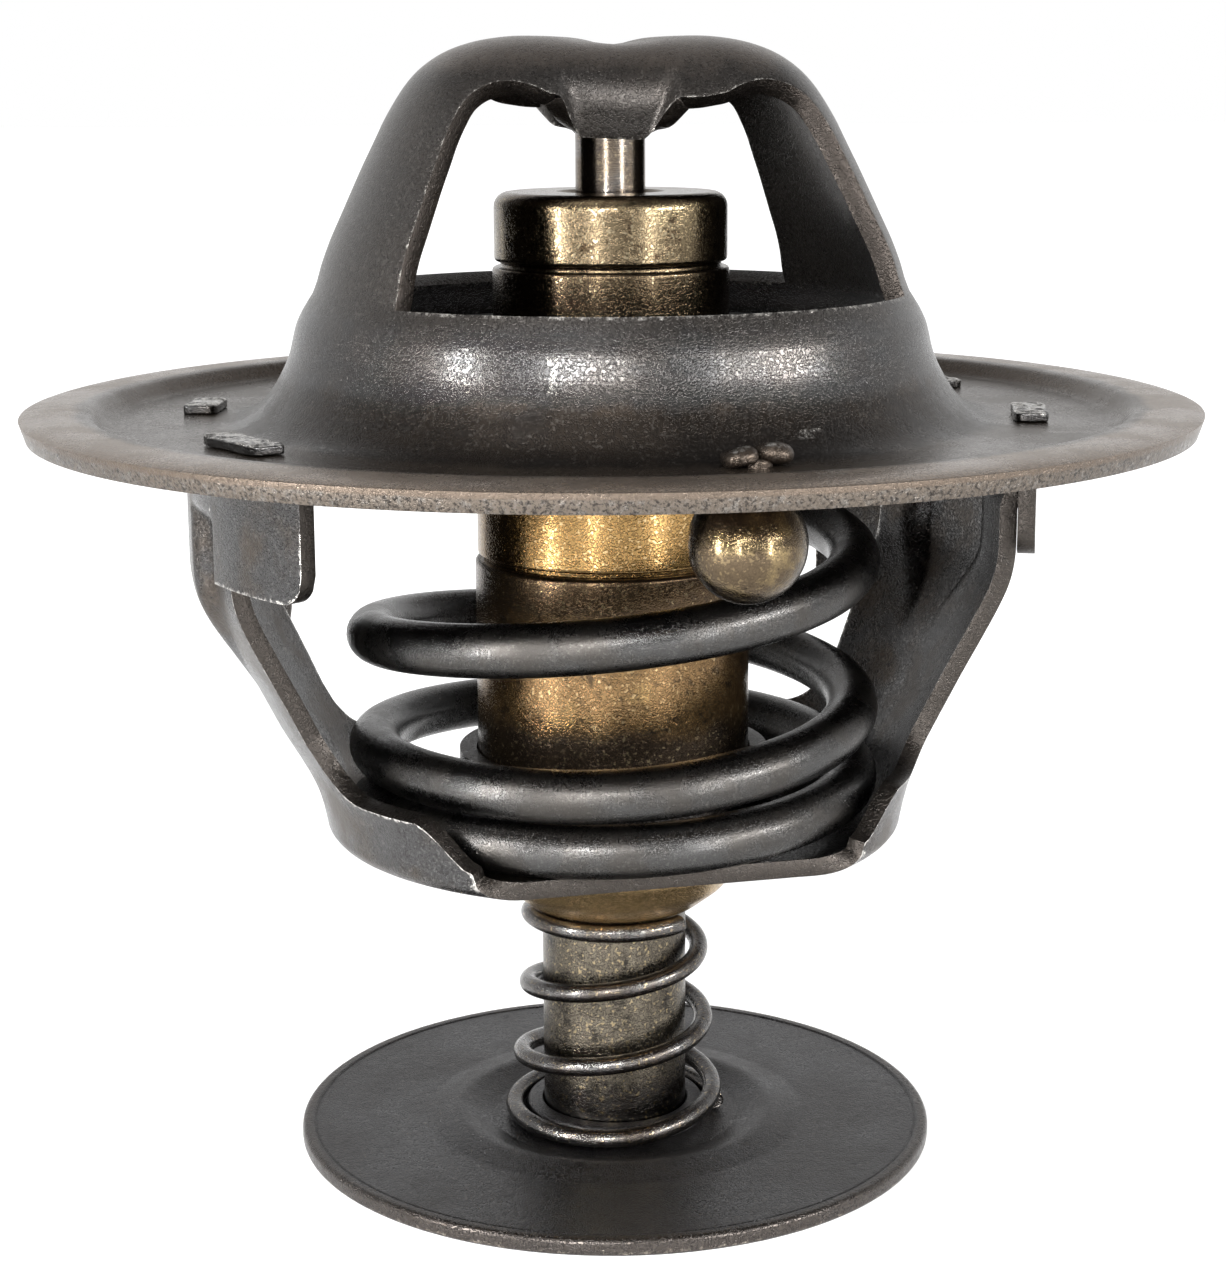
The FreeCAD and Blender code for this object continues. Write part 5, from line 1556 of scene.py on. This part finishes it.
    def build(self, finishes: Finishes) -> None:
        """Builds and dresses the cage.

        Args:
            finishes: The valve's finishes.
        """
        right, left = self.sides()
        shell = welded([self.side(right), self.side(left)], tolerance=0.01)
        piece = make_piece("spring_cage", shell, finishes.cage, finishes.edge)
        thicken(piece, self.sheet, 0.22)
        place(piece, "frame", "cage_steel", "lower_frame")
        tabs = ((right, -1), (right, 1), (left, -1), (left, 1))
        for index, (plan, sign) in enumerate(tabs):
            azimuth = plan.azimuth + sign * self.tab_turn + self.head_shifts[index]
            head = self.staked_head(azimuth, self.head_half_lengths[index], 1.7 * index)
            piece = make_piece(f"staked_head_{index + 1}", head, finishes.cage)
            place(piece, "frame", "cage_steel")


@dataclass
class Coil:
    """A spring of round wire.

    Attributes:
        wire: Wire diameter.
        first: First turn; whole turns lie at the viewer's side.
        last: Last turn.
        radius_at: Mean radius at a turn.
        height_at: Height of the wire's middle at a turn.
        rings_a_turn: Rings of points a turn.
        ring_points: Points of a ring.
        cap: Shares of the wire's thickness from a cut end on.
        cap_step: How far the last of them is drawn in, in mm.
    """

    wire: float
    first: float
    last: float
    radius_at: Callable[[Array], Array]
    height_at: Callable[[Array], Array]
    rings_a_turn: int = 110
    ring_points: int = 26
    cap: tuple[float, ...] = (0.0, 0.6, 0.9, 0.98)
    cap_step: float = 0.04

    def surface(self) -> Surface:
        """The wire as a tube about a helix.

        The centre is (r cos a, r sin a, z) with azimuth a of 270 degrees plus a whole turn per
        turn. Around it lies a circle square to the tangent. The first and last rings shrink to
        a point, which closes the cut ends.

        Returns:
            A closed surface.
        """
        count = int(self.rings_a_turn * (self.last - self.first))
        turn = np.linspace(self.first, self.last, count)
        azimuth = math.radians(270) + 2 * math.pi * turn
        radius, height = self.radius_at(turn), self.height_at(turn)
        centre = around_axis(radius, azimuth, height)
        tangent = np.gradient(centre, axis=0)
        tangent /= np.linalg.norm(tangent, axis=1)[:, None]
        outward = around_axis(1.0, azimuth, 0.0)
        outward -= tangent * np.sum(outward * tangent, axis=1)[:, None]
        outward /= np.linalg.norm(outward, axis=1)[:, None]
        upward = np.cross(tangent, outward)
        thickness = np.concatenate([self.cap, np.ones(count), self.cap[::-1]])
        extra = len(self.cap)
        rows = np.clip(np.arange(-extra, count + extra), 0, count - 1)
        inset = np.zeros(len(rows))
        inset[extra - 1], inset[-extra] = self.cap_step, -self.cap_step
        ring = np.linspace(0, 2 * math.pi, self.ring_points, endpoint=False)
        cosine, sine = np.cos(ring)[None, :, None], np.sin(ring)[None, :, None]
        half = (0.5 * self.wire * thickness)[:, None, None]
        spine = centre[rows] - tangent[rows] * inset[:, None]
        circle = cosine * outward[rows][:, None] + sine * upward[rows][:, None]
        return welded([grid(spine[:, None] + half * circle, around=True)], tolerance=0.0005)


def soft_ramp(turn: Array, knee: float, softness: float = 0.06) -> Array:
    """0 before a knee and one per turn after it, joined by a parabola 2 softness wide."""
    bend = np.clip(turn - knee + softness, 0, 2 * softness) ** 2 / (4 * softness)
    return bend + np.clip(turn - knee - softness, 0, None)


@dataclass
class Springs:
    """The return spring in the cage and the light spring over the bypass disc."""

    wire: float = 3.0
    coil_radius: float = 14.1
    foot: float = 19.9
    head: float = 46.25
    pitch: float = 8.51
    head_pitch: float = 9.5
    closed_pitch: float = 3.05
    tail: float = 0.22
    travel: float = 8.0
    light_wire: float = 1.1
    light_foot: float = 0.80
    light_head: float = 14.3
    light_foot_radius: float = 6.1
    light_head_radius: float = 5.05
    light_pitch: float = 4.45
    light_tail: float = 0.75
    light_head_tail: float = 0.35
    lift: float = 6.0

    def head_turn(self) -> float:
        """The turn where the return spring's open coils meet its closed head."""
        open_rise = self.head - self.foot - self.wire - 2 * self.closed_pitch
        return 2 + (open_rise - self.pitch) / self.head_pitch

    def main_height(self, turn: Array) -> Array:
        """Height of the return spring's wire: flat tails, closed end coils and open coils.

        Args:
            turn: Turns.

        Returns:
            Heights, as a sum of ramps whose slopes change at each knee.
        """
        end = self.head_turn()
        slope = self.closed_pitch / (1 - self.tail)
        knees = (
            (0.0, slope),
            (1 - self.tail, -slope),
            (1.0, self.pitch),
            (2.0, self.head_pitch - self.pitch),
            (end, -self.head_pitch),
            (end + self.tail, slope),
            (end + 1, -slope),
        )
        return self.foot + self.wire / 2 + sum(rate * soft_ramp(turn, knee) for knee, rate in knees)

    def main_coil(self) -> Coil:
        """The return spring."""
        return Coil(
            self.wire,
            -self.tail,
            self.head_turn() + 1 + self.tail,
            lambda turn: self.coil_radius + 0 * turn,
            self.main_height,
        )

    def light_coil(self) -> Coil:
        """The light spring: its radius shrinks upwards with the square of what is left."""
        open_turns = (self.light_head - self.light_foot - self.light_wire) / self.light_pitch

        def height_at(turn: Array) -> Array:
            """Height of the wire's middle, with closed ends."""
            climb = soft_ramp(turn, 0) - soft_ramp(turn, open_turns)
            return self.light_foot + self.light_wire / 2 + self.light_pitch * climb

        def radius_at(turn: Array) -> Array:
            """Mean radius, wider at the foot."""
            left = np.clip(1 - turn / open_turns, 0, 1)
            flare = self.light_foot_radius - self.light_head_radius
            return self.light_head_radius + flare * left**2

        last = open_turns + self.light_head_tail
        return Coil(self.light_wire, -self.light_tail, last, radius_at, height_at)

    def build(self, finishes: Finishes) -> None:
        """Builds both springs.

        Args:
            finishes: The valve's finishes.
        """
        main = make_piece("return_spring", self.main_coil().surface(), finishes.coil)
        place(main, "frame", "spring_steel", "main_spring")
        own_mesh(main)
        light = make_piece("disc_spring", self.light_coil().surface(), finishes.small_coil)
        place(light, "element", "spring_steel", "bypass_spring")
        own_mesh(light)


@dataclass
class WaxElement:
    """The brass element with its piston, plate and stem. Heights above the standing plane."""

    piston: float = 2.0
    bore: float = 2.05

    def build(self, finishes: Finishes) -> None:
        """Turns each part's outline and dresses it.

        A part is the piece's name, its finish, the body that carries it, its slot, the node that
        it replaces and its outline: radius, height and fillet, anticlockwise.

        Args:
            finishes: The valve's finishes.
        """
        bore, pin = self.bore, self.piston
        for name, finish, body, slot, node, corners in (
            (
                "piston_pin", finishes.pin, "frame", "polished_steel", "piston",
                ((0, 23.0, 0), (pin, 23.0, 0.3), (pin, 61.8, 0.1), (0, 61.8, 0)),
            ),
            (
                "brass_cap", finishes.brass, "element", "brass", "seal_cap",
                (
                    (5.16, 52.4, 0), (6.66, 52.4, 0.25), (6.66, 56.3, 0.85), (3.1, 56.3, 0.2),
                    (2.75, 56.1, 0.1), (bore, 56.1, 0.05), (bore, 54.8, 0), (5.16, 54.8, 0),
                ),
            ),
            (
                "guide_sleeve", finishes.brass, "element", "brass", "guide_body",
                (
                    (bore, 35.1, 0), (3.4, 35.1, 0), (3.4, 33.6, 0), (6.9, 33.6, 0),
                    (6.9, 35.3, 0), (7.5, 35.3, 0.05), (7.5, 35.6, 0.05), (7.85, 35.6, 0.15),
                    (7.85, 46.3, 0.05), (6.77, 46.3, 0), (6.77, 47.3, 0), (6.27, 47.3, 0),
                    (6.27, 48.1, 0), (6.77, 48.1, 0.05), (6.77, 52.1, 0.45), (6.31, 52.1, 0.05),
                    (6.31, 52.4, 0), (5.16, 52.4, 0), (5.16, 53.6, 0), (bore, 53.6, 0),
                ),
            ),
            (
                "wax_cup_shell", finishes.cup_brass, "element", "brass", "wax_cup",
                (
                    (0, 14.3, 0), (5.0, 14.3, 0.9), (6.7, 15.6, 2.2), (7.7, 17.2, 2.0),
                    (8.0, 19.0, 2.0), (8.0, 35.3, 0.25), (6.9, 35.3, 0), (6.9, 18.3, 0),
                    (4.2, 16.7, 0), (0, 16.7, 0),
                ),
            ),
            (
                "plate", finishes.cage, "element", "dark_steel", "valve_plate",
                ((6.77, 46.3, 0), (15.95, 46.3, 0.1), (15.95, 47.3, 0.1), (6.77, 47.3, 0)),
            ),
            (
                "rim_seal", finishes.rubber, "element", "black_rubber", "valve_seal",
                ((15.95, 46.3, 0), (16.75, 46.3, 0.2), (16.75, 48.1, 0.35), (15.95, 48.1, 0.2)),
            ),
            (
                "snap_ring", finishes.pin, "element", "polished_steel", "plate_ring",
                ((6.27, 47.3, 0), (7.87, 47.3, 0.15), (7.87, 48.1, 0.15), (6.27, 48.1, 0)),
            ),
            (
                "stem", finishes.stem, "element", "dull_brass", "bypass_stem",
                (
                    (0, 0.25, 0), (4.3, 0.25, 0.3), (4.3, 0.6, 0), (3.7, 0.6, 0), (3.7, 1.05, 0),
                    (4.3, 1.05, 0), (4.3, 14.3, 0), (2.6, 14.3, 0), (2.6, 15.7, 0), (0, 15.7, 0),
                ),
            ),
            (
                "clip", finishes.coil, "element", "spring_steel", "stem_clip",
                ((3.7, 0.6, 0), (4.85, 0.6, 0.1), (4.85, 1.05, 0.1), (3.7, 1.05, 0)),
            ),
        ):
            surface = lathe(rounded_outline(corners))
            place(make_piece(name, surface, finish), body, slot, node)
        for node, finish in (
            ("piston_seal", finishes.rubber),
            ("rubber_boot", finishes.rubber),
            ("boot_washer", finishes.pin),
            ("wax_charge", finishes.wax),
        ):
            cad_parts[node].data.materials.clear()
            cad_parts[node].data.materials.append(finish)


@dataclass
class BypassDisc:
    """The large pressed disc that the valve stands on."""

    radius: float = 19.0
    bore: float = 4.38

    def build(self, finishes: Finishes) -> None:
        """Turns the disc's outline: rim, web, ring around the seat and raised middle.

        Args:
            finishes: The valve's finishes.
        """
        outline = rounded_outline(
            [
                (self.bore, 1.05, 0), (4.95, 1.05, 0), (4.95, 0.06, 0), (7.3, 0.06, 0.3),
                (9.3, 0.58, 1.2), (11.3, 0.14, 1.5), (18.2, 0.14, 0), (18.2, 0.0, 0),
                (self.radius, 0.0, 0.28), (self.radius, 1.0, 0.36), (18.32, 1.0, 0.05),
                (18.22, 0.9, 0.05), (18.1, 0.96, 0.1), (11.4, 0.94, 2.0), (9.3, 1.36, 1.6),
                (7.4, 0.75, 0.5), (5.35, 0.75, 0.1), (5.35, 1.75, 0.3), (self.bore, 1.75, 0.1),
            ]
        )
        surface = lathe(outline, segments=256)
        distance = np.hypot(surface.points[:, 0], surface.points[:, 1])
        low_rim = bell(surface.points[:, 2], 0.22, 0.16) * smooth(distance, 18.5, 18.95)
        surface.marks["edge"] = np.maximum(low_rim, 0.5 * bell(distance, 18.2, 0.12))
        piece = make_piece("large_disc", surface, finishes.disc)
        place(piece, "bypass_valve", "disc_steel", "bypass_disc")


@dataclass
class BleedValve:
    """Brass ball on a split pin that hangs in a hole of the flange."""

    azimuth: float = 288.9
    distance: float = 22.2
    ball: float = 3.07
    centre_height: float = 39.67
    rest_height: float = 43.72
    pivot_height: float = 43.05
    lean: float = 7.0

    def leaned(self) -> Array:
        """The matrix that leans by an angle about the radial line through the hole."""
        azimuth = math.radians(self.azimuth)
        outward = Vector((math.cos(azimuth), math.sin(azimuth), 0))
        pivot = Vector((*(outward.xy * self.distance), self.pivot_height))
        turning = Matrix.Rotation(math.radians(-self.lean), 4, outward)
        whole = Matrix.Translation(pivot) @ turning @ Matrix.Translation(-pivot)
        return np.array(whole)[:3]

    def shifted(self, height: float, side: float = 0.0) -> Array:
        """The matrix that turns to the hole's azimuth and moves to its axis at a height.

        Args:
            height: Height in mm.
            side: Shift across the radius in mm.

        Returns:
            Three rows and four columns.
        """
        turn = turned(self.azimuth)
        return np.column_stack([turn, turn @ np.array([self.distance, side, 0.0]) + [0, 0, height]])

    def ball_surface(self) -> Surface:
        """A ball with a short neck on top, as one turned outline."""
        angle = np.radians(np.linspace(-90, 66, 60))
        arc = np.stack([self.ball * np.cos(angle), self.ball * np.sin(angle)], axis=1)
        neck = np.array([[1.16, 2.86], [1.10, 3.0], [1.05, 3.25], [0.0, 3.25]])
        ball = lathe(np.vstack([arc, neck]), segments=96)
        return ball.moved(self.shifted(self.centre_height)).moved(self.leaned())

    def tip(self, side: float, halves: Sequence[float], lean: float, power: float) -> Surface:
        """One spread tip of the split pin, a rounded lump.

        Args:
            side: Its place across the radius in mm.
            halves: Half sizes: outwards, across and up.
            lean: Lean about the radial line in degrees.
            power: The superellipsoid's exponent.

        Returns:
            The tip in its place.
        """
        lump = superblock(halves, power, steps=28)
        points = lump.points
        points[:, 2] += 0.05 * np.sin(3.1 * points[:, 0] + 2 * points[:, 1])
        cosine, sine = math.cos(math.radians(lean)), math.sin(math.radians(lean))
        leaning = np.array([[1, 0, 0], [0, cosine, -sine], [0, sine, cosine]])
        lump.marks["edge"] = smooth(points[:, 2], 0.2, 0.5)
        return lump.moved(leaning).moved(self.shifted(self.rest_height + halves[2] * 0.82, side))

    def build(self, finishes: Finishes) -> None:
        """Builds and dresses the bleed valve.

        Args:
            finishes: The valve's finishes.
        """
        ball = make_piece("air_ball", self.ball_surface(), finishes.ball)
        place(ball, "bleed_valve", "brass", "bleed_ball")
        outline = rounded_outline([(0, -4.0, 0), (0.8, -4.0, 0), (0.8, 0.3, 0.2), (0, 0.3, 0)])
        shank = lathe(outline, segments=48)
        shank = shank.moved(self.shifted(self.rest_height)).moved(self.leaned())
        pin = make_piece("split_pin_shank", shank, finishes.upper)
        place(pin, "bleed_valve", "dark_steel", "bleed_pin")
        for name, tip in (
            ("pin_tip_right", self.tip(0.98, (1.02, 0.98, 0.58), -6, 0.9)),
            ("pin_tip_left", self.tip(-0.90, (1.02, 0.90, 0.46), 12, 0.7)),
        ):
            place(make_piece(name, tip, finishes.upper), "bleed_valve", "dark_steel")


# Studio


def seen(graph: Graph) -> bpy.types.NodeSocket:
    """1 for a ray from the camera, a mirror or glass, 0 for light on a dull surface."""
    path = graph.node("ShaderNodeLightPath").outputs
    through = graph.math("MAXIMUM", path["Is Glossy Ray"], path["Is Transmission Ray"])
    return graph.math("MAXIMUM", path["Is Camera Ray"], through)


@dataclass
class Studio:
    """Pale floor, soft lights and the photograph's camera. Lengths in mm, angles in degrees.

    Attributes:
        aim: Height of the point that every light faces.
        walls: Colour of the walls as seen or mirrored, and dull_walls as they light the valve.
        ceiling: Colour of the ceiling.
        ceiling_rise: Upward parts of a direction between which wall turns to ceiling.
        floor_half: Half the floor's width.
        floor_tones: Two colours that the floor is mottled with.
        floor_glow: Its glow at the valve and far from it.
        glow_reach: Metres from the axis between which the glow grows.
    """

    camera_place: tuple[float, float, float] = (-0.06, -151.11, 62.94)
    pitch: float = 12.26
    roll: float = -0.28
    yaw: float = 0.03
    lens: float = 73.65
    aim: float = 33.0
    walls: Colour = (1.0, 1.0, 1.0)
    dull_walls: Colour = (0.5, 0.5, 0.5)
    ceiling: Colour = (0.20, 0.20, 0.205)
    ceiling_rise: tuple[float, float] = (0.48, 0.80)
    floor_half: float = 3000.0
    floor_tones: tuple[Colour, Colour] = ((0.80, 0.80, 0.80), (0.82, 0.82, 0.82))
    floor_glow: tuple[float, float] = (0.34, 0.75)
    glow_reach: tuple[float, float] = (0.03, 0.22)

    def camera(self) -> None:
        """Puts the camera where the photograph's stood.

        Its view direction is (sin y cos p, cos y cos p, -sin p) for yaw y and pitch p, and its
        right and up directions are turned by the roll about it.
        """
        pitch, roll, yaw = (math.radians(angle) for angle in (self.pitch, self.roll, self.yaw))
        flat = math.cos(pitch)
        forward = Vector((math.sin(yaw) * flat, math.cos(yaw) * flat, -math.sin(pitch)))
        level = Vector((math.cos(yaw), -math.sin(yaw), 0))
        upright = level.cross(forward)
        right = level * math.cos(roll) + upright * math.sin(roll)
        up = upright * math.cos(roll) - level * math.sin(roll)
        data = bpy.data.cameras.new("photo_camera")
        data.lens = self.lens
        data.sensor_width = 36.0
        data.clip_start = 0.01
        data.clip_end = 20.0
        camera = bpy.data.objects.new("photo_camera", data)
        camera.matrix_world = Matrix(
            (
                (right.x, up.x, -forward.x, self.camera_place[0] * MM),
                (right.y, up.y, -forward.y, self.camera_place[1] * MM),
                (right.z, up.z, -forward.z, self.camera_place[2] * MM),
                (0, 0, 0, 1),
            )
        )
        bpy.context.collection.objects.link(camera)
        bpy.context.scene.camera = camera

    def light(
        self, name: str, place_mm: Sequence[float], size_mm: Sequence[float], power: float
    ) -> None:
        """Adds a soft rectangular light that faces the valve and isn't itself in the picture.

        Args:
            name: The light's name.
            place_mm: Its place.
            size_mm: Width and height.
            power: Power in watts.
        """
        data = bpy.data.lights.new(name, "AREA")
        data.shape = "RECTANGLE"
        data.size, data.size_y = size_mm[0] * MM, size_mm[1] * MM
        data.energy = power
        lamp = bpy.data.objects.new(name, data)
        position = Vector(place_mm) * MM
        target = Vector((0, 0, self.aim * MM))
        lamp.rotation_euler = (target - position).to_track_quat("-Z", "Y").to_euler()
        lamp.location = position
        lamp.visible_camera = False
        bpy.context.collection.objects.link(lamp)

    def world(self) -> None:
        """Pale surroundings: white walls, seen and mirrored alike, under a greyer ceiling."""
        world = bpy.data.worlds.new("studio")
        bpy.context.scene.world = world
        world.use_nodes = True
        graph = Graph(world.node_tree)
        back = world.node_tree.nodes["Background"]
        direction = graph.node("ShaderNodeTexCoord").outputs["Generated"]
        above = graph.step(graph.axes(direction)[2], *self.ceiling_rise)
        shown = graph.mix(above, self.walls, self.ceiling)
        graph.feed(back.inputs["Color"], graph.mix(seen(graph), self.dull_walls, shown))
        back.inputs["Strength"].default_value = 1.0

    def floor(self) -> None:
        """A large pale floor that keeps the valve's soft shadow and turns white further out.

        It follows the element, whose stem is the lowest part once the valve opens, and is
        clear from below.
        """
        corners = np.array([[[-1, -1, 0], [1, -1, 0]], [[-1, 1, 0], [1, 1, 0]]])
        surface = grid(self.floor_half * corners)
        material, graph, shader, place_of = new_material("pale_floor")
        patches = graph.step(graph.noise(place_of, 6.0), 0.3, 0.7)
        graph.feed(shader["Base Color"], graph.mix(patches, *self.floor_tones))
        shader["Roughness"].default_value = 0.8
        shader["Emission Color"].default_value = (1, 1, 1, 1)
        away = graph.step(graph.distance(place_of), *self.glow_reach)
        glow = graph.blend(away, *self.floor_glow)
        graph.feed(shader["Emission Strength"], graph.times(seen(graph), glow))
        below = graph.node("ShaderNodeNewGeometry").outputs["Backfacing"]
        clear = graph.node("ShaderNodeBsdfTransparent").outputs[0]
        nodes = material.node_tree.nodes
        pale = nodes["Principled BSDF"].outputs[0]
        shown = graph.node("ShaderNodeMixShader", {0: below, 1: pale, 2: clear}).outputs[0]
        graph.feed(nodes["Material Output"].inputs["Surface"], shown)
        piece = make_piece("studio_floor", surface, material)
        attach(piece, "element")

    def build(self) -> None:
        """Sets up camera, lights, world and floor."""
        self.camera()
        self.light("overhead", (-90, -150, 420), (300, 260), 0.4)
        self.light("key", (-55, -390, 172), (190, 44), 1.15)
        self.light("side_key", (350, -186, 160), (190, 44), 1.3)
        self.light("near_strip", (-42, -162, 62), (8, 116), 0.14)
        self.light("left_strip", (-130, -102, 62), (10, 116), 0.36)
        self.light("right_strip", (105, -134, 62), (20, 116), 0.14)
        self.world()
        self.floor()
        bpy.context.scene.view_settings.view_transform = "Standard"


def main() -> None:
    """Builds the valve piece by piece and reports each one."""
    logging.basicConfig(level=logging.INFO, format="%(name)s: %(message)s")
    finishes = Finishes()
    assemblies = (UpperFrame(), LowerFrame(), Springs(), WaxElement(), BypassDisc(), BleedValve())
    for assembly in assemblies:
        log.info("building %s", type(assembly).__name__)
        assembly.build(finishes)
    Studio().build()
    bpy.context.view_layer.update()


if __name__ == "__main__":
    main()
